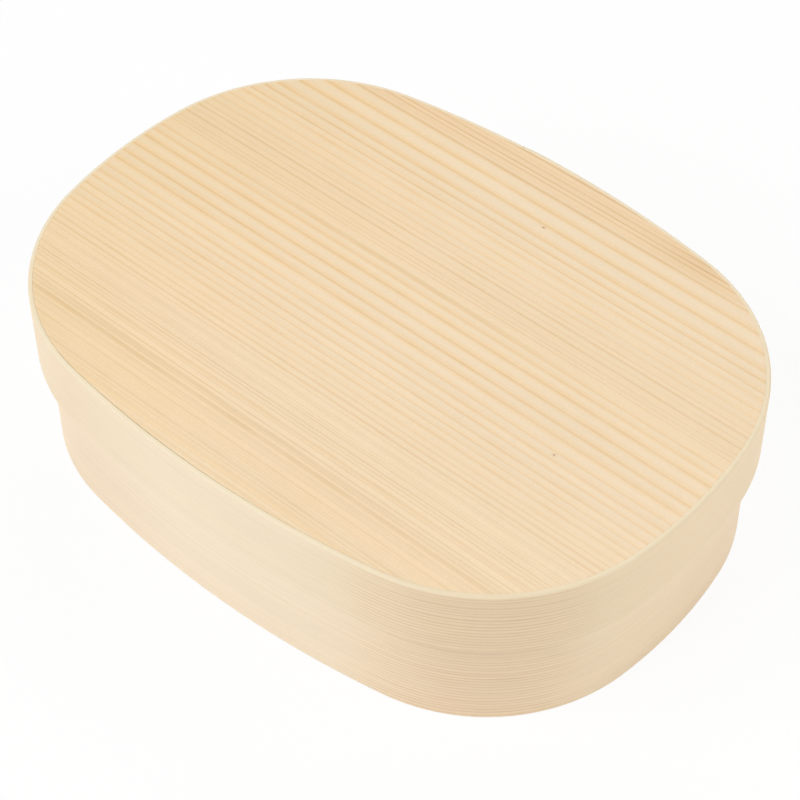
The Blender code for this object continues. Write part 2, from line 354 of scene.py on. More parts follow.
def mesh_from_loops(name: str, loops: Sequence[Sequence[Vector]]) -> bpy.types.Mesh:
    """Lofts a solid through closed loops of points, with a flat cap on each end.

    Args:
        name: name of the mesh.
        loops: loops of equal length, in order.

    Returns:
        The mesh, with its faces outwards.
    """
    shape = bmesh.new()
    rows = [[shape.verts.new(point) for point in loop] for loop in loops]
    for near, far in zip(rows, rows[1:]):
        for index in range(len(near)):
            after = (index + 1) % len(near)
            shape.faces.new((near[index], near[after], far[after], far[index]))
    shape.faces.new(reversed(rows[0]))
    shape.faces.new(rows[-1])
    if shape.calc_volume(signed=True) < 0:
        bmesh.ops.reverse_faces(shape, faces=shape.faces)
    mesh = bpy.data.meshes.new(name)
    shape.to_mesh(mesh)
    shape.free()
    return mesh


def no_rows(_length: float) -> list[float]:
    """Leaves a flat side of any length undivided."""
    return []


def guard_rows(length: float) -> list[float]:
    """Divides a flat side close to its ends, so that smooth shading leaves it flat."""
    return [GUARD / length, 1 - GUARD / length]


def even_rows(_length: float) -> list[float]:
    """Divides a flat side of any length evenly."""
    return [index / EVEN_ROWS for index in range(1, EVEN_ROWS)]


def rounded_box(
    low: tuple[float, float],
    high: tuple[float, float],
    radii: Sequence[float],
    across_rows: Callable[[float], list[float]] = no_rows,
    up_rows: Callable[[float], list[float]] = no_rows,
) -> list[tuple[float, float]]:
    """Outlines a rectangle with rounded corners.

    Args:
        low: the corner with the lowest values.
        high: the corner with the highest.
        radii: of the corners, clockwise from the lowest.
        across_rows: where points divide the top and bottom, as shares of their length.
        up_rows: where points divide the sides.

    Returns:
        Points clockwise from the lowest corner.
    """
    corners = (low, (low[0], high[1]), high, (high[0], low[1]))
    toward = ((1, 1), (1, -1), (-1, -1), (-1, 1))
    most = ROUND_SHARE * min(high[0] - low[0], high[1] - low[1])
    arcs = []
    for index, (corner, (sign_x, sign_y)) in enumerate(zip(corners, toward)):
        radius = min(radii[index], most)
        centre = (corner[0] + radius * sign_x, corner[1] + radius * sign_y)
        arc = []
        for step in range(ROUND_STEPS + 1):
            angle = -QUARTER_TURN * (index + 1 + step / ROUND_STEPS)
            x = centre[0] + radius * math.cos(angle)
            arc.append((x, centre[1] + radius * math.sin(angle)))
        arcs.append(arc)
    outline = []
    for arc, after, rows in zip(arcs, arcs[1:] + arcs[:1], (up_rows, across_rows) * 2):
        outline += arc
        start, end = Vector(arc[-1]), Vector(after[0])
        for share in rows((end - start).length):
            outline.append(tuple(start.lerp(end, share)))
    return outline


def outline_stack(
    name: str,
    plan: Plan,
    profile: Sequence[tuple[float, float]],
    opening: Callable[[float], float] | None = None,
) -> bpy.types.Mesh:
    """Stacks outlines of the plan into a solid.

    Args:
        name: name of the mesh.
        plan: the plan that they follow.
        profile: inset and height of each outline, from the bottom up.
        opening: further inset by facing.

    Returns:
        The mesh.
    """
    loops = []
    for inset, height in profile:
        loop = []
        for facing in plan.facings:
            extra = opening(facing) if opening else 0.0
            loop.append(Vector((*plan.point(facing, inset + extra), height)))
        loops.append(loop)
    return mesh_from_loops(name, loops)


def add_piece(name: str, mesh: bpy.types.Mesh) -> bpy.types.Object:
    """Links a mesh as an object at the row's origin.

    Args:
        name: name of the object.
        mesh: its mesh.

    Returns:
        The object.
    """
    piece = bpy.data.objects.new(name, mesh)
    bpy.context.scene.collection.objects.link(piece)
    return piece


def subtract(piece: bpy.types.Object, cutter_mesh: bpy.types.Mesh, solver: Solver) -> None:
    """Cuts a mesh out of a piece for good.

    Args:
        piece: the piece, whose mesh is replaced.
        cutter_mesh: what is cut away. It is removed afterwards.
        solver: which of the Boolean solvers does it.
    """
    cutter = add_piece(cutter_mesh.name, cutter_mesh)
    boolean = piece.modifiers.new(cutter_mesh.name, "BOOLEAN")
    boolean.operation = "DIFFERENCE"
    boolean.solver = solver.value
    boolean.object = cutter
    graph = bpy.context.evaluated_depsgraph_get()
    before = piece.data
    piece.data = bpy.data.meshes.new_from_object(piece.evaluated_get(graph))
    piece.modifiers.clear()
    piece.data.name = piece.name
    bpy.data.objects.remove(cutter)
    bpy.data.meshes.remove(cutter_mesh)
    bpy.data.meshes.remove(before)


def mark(mesh: bpy.types.Mesh, places: Iterable[Vector], arrises: Iterable[float]) -> None:
    """Writes the attributes that the finishes read, and smooths the round faces.

    Args:
        mesh: the mesh, in the row frame.
        places: each point's place in its timber: along, across and through it, in metres.
        arrises: how worn each point is, and so how much highlight is painted on it: 1 on a handled
            arris and 0 on a flat face.
    """
    directions = mesh.attributes.new(GRAIN, "FLOAT_VECTOR", "POINT")
    for direction, place in zip(directions.data, places):
        direction.vector = place
    edges = mesh.attributes.new(ARRIS, "FLOAT", "POINT")
    for edge, value in zip(edges.data, arrises):
        edge.value = value
    mesh.shade_smooth()
    mesh.set_sharp_from_angle(angle=SHARP_ANGLE)


def sanded_off(radius: float, from_side: float) -> float:
    """How far a rounded arris falls away at a distance from the side that it rounds."""
    short = min(max(radius - from_side, 0.0), radius)
    return radius - math.sqrt(radius**2 - short**2)


@dataclass(frozen=True)
class Lap:
    """Scarfed lap that closes a strip, at the middle of the back.

    A tip that isn't let in is planed down to a fine edge over the length of its feather.
    """

    length: float = 0.036
    tip_x: float = 0.012
    tip_thickness: float = 0.0003
    glue_line: float = 0.00002
    feather: float = 0.006
    fine_edge: float = 0.00004

    @property
    def step(self) -> float:
        """How far a tip that isn't let in stands clear of the wall."""
        return self.tip_thickness + self.glue_line

    def planed(self, from_end: float) -> float:
        """How much is planed off a proud tip at a distance from its end."""
        near = max(0.0, 1 - from_end / self.feather)
        return (self.tip_thickness - self.fine_edge) * near**2


@dataclass(frozen=True)
class Strip:
    """A strip bent round the plan, with its ends lapped at the back.

    inset is that of its plain outer face from the lid's. rounds are the radii of the
    outer foot, outer top, inner top and inner foot. Where proud_outside or proud_inside
    is 0, that tip of the lap is let in flush.
    """

    plan: Plan
    inset: float
    thickness: float
    bottom: float
    top: float
    proud_outside: float
    proud_inside: float
    rounds: tuple[float, float, float, float]
    tip: LapTip
    lap: Lap = Lap()

    def lap_insets(self, done: float) -> tuple[float, float, float, float]:
        """Finds the faces of both ends of the lap.

        Args:
            done: share of the lap's length, from the inner tip to the outer tip.

        Returns:
            Insets of the outer end's outer and inner face, then of the inner end's.
        """
        left = 1 - done
        whole = self.thickness + self.proud_inside
        over = (whole - self.lap.step) * left
        over += (self.lap.tip_thickness - self.proud_outside) * done
        under = (whole - self.lap.tip_thickness) * left
        under += (self.lap.step - self.proud_outside) * done
        outer_face = -self.proud_outside * done
        inner_face = self.thickness + self.proud_inside * left
        if self.proud_outside:
            outer_face += self.lap.planed(left * self.lap.length)
        if self.proud_inside:
            inner_face -= self.lap.planed(done * self.lap.length)
        return outer_face, over, under, inner_face

    def lap_facings(self) -> tuple[float, float]:
        """Directions of the wall at the inner tip and at the outer tip."""
        inner_tip = self.plan.back_facing(self.lap.tip_x - self.lap.length)
        return inner_tip, self.plan.back_facing(self.lap.tip_x)

    def stations(self) -> list[tuple[float, Sides, Sides]]:
        """Lists where the strip is cut across to be lofted.

        Returns:
            Facing, the strip's own sides and the hoop's sides there, from the inner tip.
        """
        start, end = self.lap_facings()
        notch = self.lap.glue_line / self.plan.long_side_radius
        stations = []
        for step in range(LAP_STEPS + 1):
            done = step / LAP_STEPS
            outer_face, _, under, inner_face = self.lap_insets(done)
            facing = start + (end - start) * done
            stations.append((facing, (under, inner_face), (outer_face, inner_face)))
        least = self.lap.tip_thickness / self.plan.long_side_radius
        plain = (0.0, self.thickness)
        for facing in self.plan.facings_down(end - notch, start - FULL_TURN + notch, least):
            stations.append((facing, plain, plain))
        for step in range(LAP_STEPS + 1):
            done = step / LAP_STEPS
            outer_face, over, _, inner_face = self.lap_insets(done)
            facing = start + (end + notch - start) * done - FULL_TURN
            stations.append((facing, (outer_face, over), (outer_face, inner_face)))
        return stations

    def section(self, own: Sides, hoop: Sides) -> list[tuple[float, float]]:
        """Outlines the strip across its length, as it is sanded once the hoop is closed.

        Args:
            own: insets of the strip's outer and inner face.
            hoop: insets of the hoop's, which are other ones in the lap.

        Returns:
            Insets and heights above the foot, from the outer foot by the top.
        """
        height = self.top - self.bottom
        foot_out, top_out, top_in, foot_in = self.rounds
        outer, inner = own[0] == hoop[0], own[1] == hoop[1]
        shown = (outer, outer, inner, inner)
        radii = [radius if seen else TOUCH for radius, seen in zip(self.rounds, shown)]
        outline = rounded_box((own[0], 0.0), (own[1], height), radii, up_rows=guard_rows)
        section = []
        for inset, level in outline:
            under, over = inset - hoop[0], hoop[1] - inset
            low = max(sanded_off(foot_out, under), sanded_off(foot_in, over))
            high = height - max(sanded_off(top_out, under), sanded_off(top_in, over))
            section.append((inset, min(max(level, low), high)))
        return section

    def mesh(self, name: str) -> bpy.types.Mesh:
        """Lofts the strip through its stations.

        Args:
            name: name of the mesh.

        Returns:
            The mesh.
        """
        loops = []
        for facing, own, hoop in self.stations():
            if self.tip is LapTip.LEFT:
                facing = HALF_TURN - facing
            loop = []
            for inset, height in self.section(own, hoop):
                point = self.plan.point(facing, self.inset + inset)
                loop.append(Vector((*point, self.bottom + height)))
            loops.append(loop)
        return mesh_from_loops(name, loops)

    def grain(self, point: Vector) -> Vector:
        """Finds a point's place in the flat strip that this one was bent from.

        Args:
            point: a point of the strip, in the row frame.

        Returns:
            Its place along the strip, by the right from the middle of the front, its
            height, and its depth under the outer face.
        """
        facing, inset = self.plan.locate(point.x * self.tip.value, point.y)
        depth = inset - self.inset
        start, end = self.lap_facings()
        run = self.plan.run_to(facing)
        in_outer_end = facing > start
        if end <= facing <= start:
            _, over, under, _ = self.lap_insets((start - facing) / (start - end))
            in_outer_end = depth < (over + under) / 2
        if in_outer_end:
            run -= 4 * self.plan.quarter_run
        return Vector((run * self.tip.value, point.z, depth))

    def arris(self, point: Vector) -> float:
        """Finds how well handling has worn a point, and how much highlight is painted on it.

        Args:
            point: a point of the strip, in the row frame.

        Returns:
            1 round the top, less round the foot and 0 between them.
        """
        foot_out, top_out, _, _ = self.rounds
        if self.top - point.z < top_out / 2:
            return 1.0
        return FOOT_RUB_AND_HIGHLIGHT if point.z - self.bottom < foot_out + TOUCH else 0.0


@dataclass(frozen=True)
class Lacing:
    """Tape of cherry bark that is sewn through a lap, in and out of a row of slits."""

    strip: Strip
    first_slit: float
    last_slit: float
    stitches: int
    width: float = 0.005
    thickness: float = 0.00035
    clearance: float = 0.0001
    from_tip: float = 0.0065
    tail_share: float = 0.7
    bend_radius: float = 0.0004
    bend_steps: int = 6
    run_step: float = 0.0005
    crown: float = 0.00006
    ragged: float = 0.00012
    edge_share: float = 0.4

    @property
    def heights(self) -> list[float]:
        """Heights of the slits, two for each stitch that shows outside."""
        count = 2 * self.stitches
        pitch = (self.last_slit - self.first_slit) / (count - 1)
        return [self.first_slit + pitch * index for index in range(count)]

    @property
    def reach(self) -> tuple[float, float]:
        """How far out from the strip's plain face the inner and outer runs lie."""
        lift = self.clearance + self.thickness / 2
        inside = -(self.strip.thickness + self.strip.proud_inside + lift)
        return inside, self.strip.proud_outside + lift

    def wall_frame(self) -> Matrix:
        """Finds the tape's place on the back wall.

        Returns:
            A frame there, with X outwards, Y up and Z along the wall.
        """
        plan = self.strip.plan
        x = (self.strip.lap.tip_x - self.from_tip) * self.strip.tip.value
        facing = plan.back_facing(x, self.strip.inset)
        point = plan.point(facing, self.strip.inset)
        outward = Vector((math.cos(facing), math.sin(facing), 0))
        up = Vector((0, 0, 1))
        axes = Matrix((outward, up, outward.cross(up))).transposed()
        return Matrix.Translation((point.x, point.y, 0)) @ axes.to_4x4()

    def slits(self, name: str) -> bpy.types.Mesh:
        """Makes the cutter for all of the slits.

        Args:
            name: name of the mesh.

        Returns:
            A mesh of separate flat boxes.
        """
        inside, outside = self.reach
        size = (
            outside - inside + CUT_MARGIN,
            self.thickness + 2 * self.clearance,
            self.width + 2 * self.clearance,
        )
        wall = self.wall_frame()
        shape = bmesh.new()
        for height in self.heights:
            middle = Matrix.Translation(((outside + inside) / 2, height, 0))
            placement = wall @ middle @ Matrix.Diagonal((*size, 1))
            bmesh.ops.create_cube(shape, size=1, matrix=placement)
        mesh = bpy.data.meshes.new(name)
        shape.to_mesh(mesh)
        shape.free()
        return mesh

    def corners(self) -> list[Vector]:
        """Lays the tape's middle line in and out of the slits.

        Returns:
            Its corners, as outward and upward places.
        """
        inside, outside = self.reach
        heights = self.heights
        tail = self.tail_share * (heights[1] - heights[0])
        corners = [(inside, heights[0] + tail)]
        near, far = inside, outside
        for height in heights:
            corners += [(near, height), (far, height)]
            near, far = far, near
        corners.append((inside, heights[-1] - tail))
        return [Vector(corner) for corner in corners]

    def route(self) -> list[Vector]:
        """Rounds the corners of the tape's middle line, and divides its runs.

        Returns:
            Points along it, as outward and upward places.
        """
        corners = self.corners()
        route = [corners[0]]
        for before, corner, after in zip(corners, corners[1:], corners[2:]):
            back = (before - corner).normalized()
            ahead = (after - corner).normalized()
            enter = corner + back * self.bend_radius
            leave = corner + ahead * self.bend_radius
            gap = (enter - route[-1]).length
            count = max(1, round(gap / self.run_step))
            for step in range(1, count + 1):
                route.append(route[-1] + (enter - route[-1]) / (count + 1 - step))
            centre = enter + leave - corner
            for step in range(1, self.bend_steps):
                angle = QUARTER_TURN * step / self.bend_steps
                arm = -ahead * math.cos(angle) - back * math.sin(angle)
                route.append(centre + arm * self.bend_radius)
            route.append(leave)
        route.append(corners[-1])
        return route

    def mesh(self, name: str) -> bpy.types.Mesh:
        """Lofts the tape along its route and marks its grain.

        Args:
            name: name of the mesh.

        Returns:
            The mesh. Its faces are crowned, and its edges are cut a little unevenly.
        """
        route = self.route()
        half = Vector((self.width / 2, self.thickness / 2))
        radii = [self.thickness * self.edge_share] * 4
        section = rounded_box(tuple(-half), tuple(half), radii, across_rows=even_rows)
        placement = self.wall_frame()
        loops = []
        places = []
        travelled = 0.0
        for index, point in enumerate(route):
            before = route[max(index - 1, 0)]
            after = route[min(index + 1, len(route) - 1)]
            travelled += (point - before).length
            direction = (after - before).normalized()
            side = Vector((-direction.y, direction.x))
            loop = []
            for across, lift in section:
                outward = across / half.x
                raggedness = noise.noise(Vector((travelled / MM, round(outward), 0)))
                wide = across - self.ragged * abs(raggedness) * outward
                spot = point + side * (lift - math.copysign(self.crown * outward**2, lift))
                loop.append(placement @ Vector((spot.x, spot.y, wide)))
                places.append(Vector((travelled, across, lift)))
            loops.append(loop)
        mesh = mesh_from_loops(name, loops)
        mark(mesh, places, [0.0] * len(places))
        return mesh


@dataclass(frozen=True)
class Board:
    """Oblong board let into a strip's rim, with a fine seam round it.

    The board has drawn back a little from the rim on the side that it has shrunk from.
    """

    plan: Plan
    rim_inset: float
    bottom: float
    top: float
    wide_seam: float
    widest_at: float
    seed: float
    narrow_seam: float = 0.000004
    round: float = 0.00002

    def opening(self, facing: float) -> float:
        """Finds how far the seam round the board has opened.

        Args:
            facing: direction that the wall faces there.

        Returns:
            The seam's width.
        """
        aside = math.remainder(facing - self.widest_at, FULL_TURN)
        share = 1 / (1 + abs(aside) / SEAM_FALL)
        place = Vector((math.cos(facing), math.sin(facing), self.seed))
        share *= SEAM_MEAN + SEAM_WAVER * noise.noise(place * SEAM_WAVES)
        return self.narrow_seam + (self.wide_seam - self.narrow_seam) * share

    def profile(self) -> list[tuple[float, float]]:
        """Draws the board's edge, from its underside to its top.

        Returns:
            Inset and height of the outlines that the board is stacked from.
        """
        centre = self.rim_inset + self.round
        flat = centre + GUARD
        profile = [(flat, self.bottom)]
        for height, start in ((self.bottom + self.round, -1), (self.top - self.round, 0)):
            for step in range(ROUND_STEPS + 1):
                angle = QUARTER_TURN * (start + step / ROUND_STEPS)
                out = centre - self.round * math.cos(angle)
                profile.append((out, height + self.round * math.sin(angle)))
        profile.append((flat, self.top))
        return profile

    def mesh(self, name: str) -> bpy.types.Mesh:
        """Stacks the board and marks its grain, which runs along the box.

        Args:
            name: name of the mesh.

        Returns:
            The mesh.
        """
        mesh = outline_stack(name, self.plan, self.profile(), self.opening)
        places = [Vector(vertex.co) for vertex in mesh.vertices]
        from_face = self.round / ROUND_STEPS
        low, high = self.bottom + from_face, self.top - from_face
        # The board's edge is burnished, and so takes a painted highlight
        mark(mesh, places, [float(low < place.z < high) for place in places])
        return mesh


@dataclass(frozen=True)
class Plank:
    """Straight plank across the box, rounded on every edge. Its grain runs along it."""

    low: Vector
    high: Vector
    round: float

    def mesh(self, name: str) -> bpy.types.Mesh:
        """Lofts the plank from end to end and marks its grain.

        Args:
            name: name of the mesh.

        Returns:
            The mesh.
        """
        stations = []
        for step in range(ROUND_STEPS + 1):
            angle = QUARTER_TURN * step / ROUND_STEPS
            back = self.round * (1 - math.sin(angle))
            stations.append((self.low.y + self.round * (1 - math.cos(angle)), back))
        stations.append((self.low.y + self.round + GUARD, 0.0))
        both_ends = self.low.y + self.high.y
        stations += [(both_ends - y, back) for y, back in reversed(stations)]
        loops = []
        for y, back in stations:
            low = (self.low.x + back, self.low.z + back)
            high = (self.high.x - back, self.high.z - back)
            radii = [max(self.round - back, TOUCH)] * 4
            outline = rounded_box(low, high, radii, guard_rows, guard_rows)
            loops.append([Vector((x, y, z)) for x, z in outline])
        mesh = mesh_from_loops(name, loops)
        places = []
        arrises = []
        for vertex in mesh.vertices:
            x, y, z = vertex.co
            places.append(Vector((y, z, x)))
            sides = (y - self.low.y, self.high.y - y, z - self.low.z, self.high.z - z)
            arrises.append(float(min(sides) < self.round / 2))
        mark(mesh, places, arrises)
        return mesh


@dataclass(frozen=True)
class Pattern:
    """A noise of the timber: its sizes in metres, and how many finer layers it has."""

    along: float
    across: float
    through: float
    detail: float


# What the wood and the bark are varied by
DRIFT = Pattern(along=0.08, across=0.022, through=0.05, detail=1.5)
STREAK = Pattern(along=0.012, across=0.00022, through=0.0008, detail=3.0)
FLECK = Pattern(along=0.00035, across=0.0009, through=0.0006, detail=2.0)
CLOUD = Pattern(along=0.045, across=0.010, through=0.02, detail=2.0)
WEAR_AND_HIGHLIGHT = Pattern(along=0.012, across=0.003, through=0.003, detail=2.0)
BARK_DEPTH = Pattern(along=0.006, across=0.0012, through=0.001, detail=3.0)
BARK_PORES = Pattern(along=0.0016, across=0.00022, through=0.001, detail=1.0)


class Wiring:
    """Adds nodes to one tree and joins their sockets."""

    def __init__(self, tree: bpy.types.NodeTree) -> None:
        """Takes the tree that is wired."""
        self.tree = tree

    def feed(self, socket: Socket, value: Operand) -> None:
        """Joins an output to an input, or sets the input's own value.

        Args:
            socket: the input.
            value: an output or a plain value.
        """
        if isinstance(value, Socket):
            self.tree.links.new(value, socket)
        else:
            socket.default_value = value

    def add(
        self, kind: str, feeds: dict[str | int, Operand] | None = None, **settings: object
    ) -> bpy.types.Node:
        """Adds a node.

        Args:
            kind: the end of its type's name, after ShaderNode.
            feeds: what its inputs get, by name or number.
            **settings: its properties.

        Returns:
            The node.
        """
        node = self.tree.nodes.new("ShaderNode" + kind)
        for name, value in settings.items():
            setattr(node, name, value)
        for name, value in (feeds or {}).items():
            self.feed(node.inputs[name], value)
        return node

    def math(self, operation: str, *operands: Operand) -> Socket:
        """Result of a Math node."""
        return self.add("Math", dict(enumerate(operands)), operation=operation).outputs[0]

    def vector(self, operation: str, *operands: Operand) -> Socket:
        """Vector result of a Vector Math node."""
        return self.add("VectorMath", dict(enumerate(operands)), operation=operation).outputs[0]

    def scaled(self, color: Operand, factor: Operand) -> Socket:
        """Colour with its brightness multiplied."""
        feeds = {0: color, "Scale": factor}
        return self.add("VectorMath", feeds, operation="SCALE").outputs[0]

    def fade(self, value: Operand, start: float, end: float) -> Socket:
        """Rises smoothly from 0 where a value is start to 1 where it is end."""
        feeds = {"Value": value, "From Min": start, "From Max": end}
        return self.add("MapRange", feeds, interpolation_type="SMOOTHSTEP").outputs["Result"]

    def share(self, value: Operand, start: float, end: float) -> Socket:
        """Rises evenly from 0 where a value is start to 1 where it is end."""
        feeds = {"Value": value, "From Min": start, "From Max": end}
        return self.add("MapRange", feeds).outputs["Result"]

    def mix(
        self, factor: Operand, first: Operand, second: Operand, blend: Blend = Blend.MIX
    ) -> Socket:
        """Colour between two colours, or a blend of them."""
        feeds = {MIX_FACTOR: factor, MIX_FIRST: first, MIX_SECOND: second}
        return self.add("Mix", feeds, data_type="RGBA", blend_type=blend.value).outputs[MIX_RESULT]

    def curve(
        self, value: Operand, points: Sequence[tuple[float, float]], straight: bool = False
    ) -> Socket:
        """Reads a value off a curve.

        Args:
            value: place on the curve, 0 to 1.
            points: the curve's points, each from 0 to 1.
            straight: whether straight lines join the points.

        Returns:
            The curve's height there.
        """
        node = self.add("FloatCurve", {"Value": value})
        line = node.mapping.curves[0]
        while len(line.points) < len(points):
            line.points.new(1.0, 1.0)
        for point, place in zip(line.points, points):
            point.location = place
            point.handle_type = "VECTOR" if straight else "AUTO_CLAMPED"
        node.mapping.update()
        return node.outputs[0]

    def ramp(
        self, value: Operand, stops: Sequence[tuple[float, Sequence[float]]]
    ) -> Socket:
        """Reads a colour off a ramp.

        Args:
            value: place on the ramp, 0 to 1.
            stops: place and colour of each of its stops.

        Returns:
            The colour there.
        """
        node = self.add("ValToRGB", {0: value})
        elements = node.color_ramp.elements
        while len(elements) < len(stops):
            elements.new(1.0)
        for element, (place, color) in zip(elements, stops):
            element.position = place
            element.color = color
        return node.outputs[0]

    def cloud(self, grain: Operand, pattern: Pattern, seed: Operand = 0.0) -> Socket:
        """Adds a noise that is stretched along the timber.

        Args:
            grain: place in the timber.
            pattern: sizes and detail of the noise.
            seed: tells one noise from another.

        Returns:
            A value about 0.5.
        """
        sizes = (pattern.along, pattern.across, pattern.through)
        scaled = self.vector("MULTIPLY", grain, [1 / size for size in sizes])
        feeds = {"Vector": scaled, "W": seed, "Scale": 1.0, "Detail": pattern.detail}
        return self.add("TexNoise", feeds, noise_dimensions="4D").outputs[0]

    def centred(self, value: Operand) -> Socket:
        """Moves a noise about 0.5 to one about 0."""
        return self.math("SUBTRACT", value, 0.5)

    def chance(self, value: Operand) -> Socket:
        """Random number from 0 to 1 that belongs to a value."""
        return self.add("TexWhiteNoise", {"W": value}, noise_dimensions="1D").outputs["Value"]

    def place(self, tree: bpy.types.NodeTree, feeds: dict[str, Operand]) -> bpy.types.Node:
        """Places a node group with its own values."""
        return self.add("Group", feeds, node_tree=tree)

    def emboss(
        self, shader: bpy.types.Node, height: Operand, distance: float, strength: float
    ) -> None:
        """Gives a shader a fine relief.

        Args:
            shader: the shader.
            height: height of the relief, 0 to 1.
            distance: what a height of 1 is, in metres.
            strength: how strongly it shows.
        """
        feeds = {"Height": height, "Distance": distance, "Strength": strength}
        self.feed(shader.inputs["Normal"], self.add("Bump", feeds).outputs[0])


class GroupSheet(Wiring):
    """Wiring of a new node group, with its named inputs and outputs."""

    def __init__(self, name: str, inputs: dict[str, str], outputs: dict[str, str]) -> None:
        """Makes the group.

        Args:
            name: the group's name.
            inputs: kind of each input by name: Float, Vector or Color.
            outputs: kind of each output by name.
        """
        super().__init__(bpy.data.node_groups.new(name, "ShaderNodeTree"))
        for in_out, sockets in (("INPUT", inputs), ("OUTPUT", outputs)):
            for socket, kind in sockets.items():
                self.tree.interface.new_socket(
                    name=socket, in_out=in_out, socket_type="NodeSocket" + kind
                )
        self.given = self.tree.nodes.new("NodeGroupInput").outputs
        self.result = self.tree.nodes.new("NodeGroupOutput").inputs


class TimberEffects:
    """Node groups that the timber and bark finishes share, each built once."""

    def __init__(self) -> None:
        """Builds every group."""
        self.straight_grain = self.build_straight_grain()
        self.growth_lines = self.build_growth_lines()
        self.fibres = self.build_fibres()
        self.burnish_and_highlight = self.build_burnish_and_highlight()
        self.spot = self.build_spot()

    def build_straight_grain(self) -> bpy.types.NodeTree:
        """Finds the place across growth lines that slope, fan out and wander a little.

        Returns:
            The group.
        """
        inputs = {"Grain": "Vector"} | dict.fromkeys(("Slope", "Fan", "Wander", "Seed"), "Float")
        sheet = GroupSheet("straight_grain", inputs, {"Across": "Float"})
        given = sheet.given
        parts = sheet.add("SeparateXYZ", {0: given["Grain"]}).outputs
        fanned = sheet.math("MULTIPLY_ADD", parts[1], given["Fan"], given["Slope"])
        across = sheet.math("MULTIPLY_ADD", parts[0], fanned, parts[1])
        wave = sheet.cloud(given["Grain"], DRIFT, given["Seed"])
        drift = sheet.math("MULTIPLY", sheet.centred(wave), 2.0)
        across = sheet.math("MULTIPLY_ADD", drift, given["Wander"], across)
        sheet.feed(sheet.result["Across"], across)
        return sheet.tree

    def build_growth_lines(self) -> bpy.types.NodeTree:
        """Draws latewood lines, each with its own strength, and the warmer wood by them.

        Returns:
            The group.
        """
        inputs = ("Rings", "Pitch", "Along", "Thickness", "Spread", "Uneven", "Seed")
        outputs = ("Line", "Blush", "Ring Tone")
        sheet = GroupSheet(
            "growth_lines", dict.fromkeys(inputs, "Float"), dict.fromkeys(outputs, "Float")
        )
        broad = sheet.share(sheet.given["Pitch"], NARROW_RING, BROAD_RING)
        close = sheet.math("SUBTRACT", 1.0, broad)
        rings = self.uneven_rings(sheet, close)
        past, change = self.draw_lines(sheet, rings, broad)
        blush = self.warm_lines(sheet, past, change, broad)
        ring = sheet.math("ADD", sheet.math("FLOOR", rings), sheet.given["Seed"])
        warm_ring = sheet.fade(sheet.chance(sheet.math("ADD", ring, WARM_CHANCE)), WARM_FROM, 1.0)
        warm_ring = sheet.math("MULTIPLY", sheet.math("MULTIPLY", warm_ring, close), WARM_RING)
        sheet.feed(sheet.result["Blush"], sheet.math("MAXIMUM", blush, warm_ring))
        tone = sheet.chance(sheet.math("ADD", ring, TONE_CHANCE))
        sheet.feed(sheet.result["Ring Tone"], tone)
        return sheet.tree

    def uneven_rings(self, sheet: GroupSheet, close: Socket) -> Socket:
        """Makes narrow rings uneven.

        Args:
            sheet: wiring of the growth lines.
            close: 1 where the rings are narrow and 0 where they are broad.

        Returns:
            How many rings have passed, with a line at each whole number.
        """
        given = sheet.given
        place = sheet.math("MULTIPLY_ADD", given["Rings"], UNEVEN_RATE, given["Seed"])
        swell = sheet.add("TexNoise", {"W": place, "Scale": 1.0}, noise_dimensions="1D").outputs[0]
        swell = sheet.math("MULTIPLY", sheet.centred(swell), given["Uneven"])
        return sheet.math("MULTIPLY_ADD", swell, close, given["Rings"])

    def draw_lines(self, sheet: GroupSheet, rings: Socket, broad: Socket) -> tuple[Socket, Socket]:
        """Draws each growth line with its own strength and thickness.

        Args:
            sheet: wiring of the growth lines.
            rings: how many rings have passed.
            broad: 1 where the rings are broad and 0 where they are narrow.

        Returns:
            How far a place is past the nearest line, and how that line changes along it.
        """
        given = sheet.given
        # Half a ring on, so that a line belongs to the halves of the rings beside it
        shifted = sheet.math("ADD", rings, 0.5)
        line = sheet.math("ADD", sheet.math("FLOOR", shifted), given["Seed"])
        phase = sheet.math("SUBTRACT", sheet.math("FRACT", shifted), 0.5)
        past = sheet.math("MULTIPLY", phase, given["Pitch"])
        stretch = sheet.math("DIVIDE", given["Along"], LINE_STRETCH)
        place = sheet.add("CombineXYZ", {0: stretch, 1: line}).outputs[0]
        feeds = {"Vector": place, "Scale": 1.0, "Detail": LINE_DETAIL}
        patch = sheet.add("TexNoise", feeds).outputs[0]
        change = sheet.math("MULTIPLY_ADD", patch, CHANGE_GAIN, CHANGE_BASE)
        weaker = sheet.math("MULTIPLY", sheet.chance(line), given["Spread"])
        strength = sheet.math("MULTIPLY", sheet.math("SUBTRACT", 1.0, weaker), change)
        size = sheet.chance(sheet.math("ADD", line, SIZE_CHANCE))
        size = sheet.math("MULTIPLY_ADD", size, 1 - FINEST_LINE, FINEST_LINE)
        size = sheet.math("MULTIPLY", sheet.math("ADD", size, patch), given["Thickness"])
        narrowed = sheet.math("MULTIPLY_ADD", broad, 1 - NARROW_LINE, NARROW_LINE)
        size = sheet.math("MULTIPLY", size, narrowed)
        away = sheet.math("DIVIDE", sheet.math("ABSOLUTE", past), size)
        core = sheet.fade(away, 1.0, 0.0)
        sheet.feed(sheet.result["Line"], sheet.math("MULTIPLY", core, strength))
        return past, change

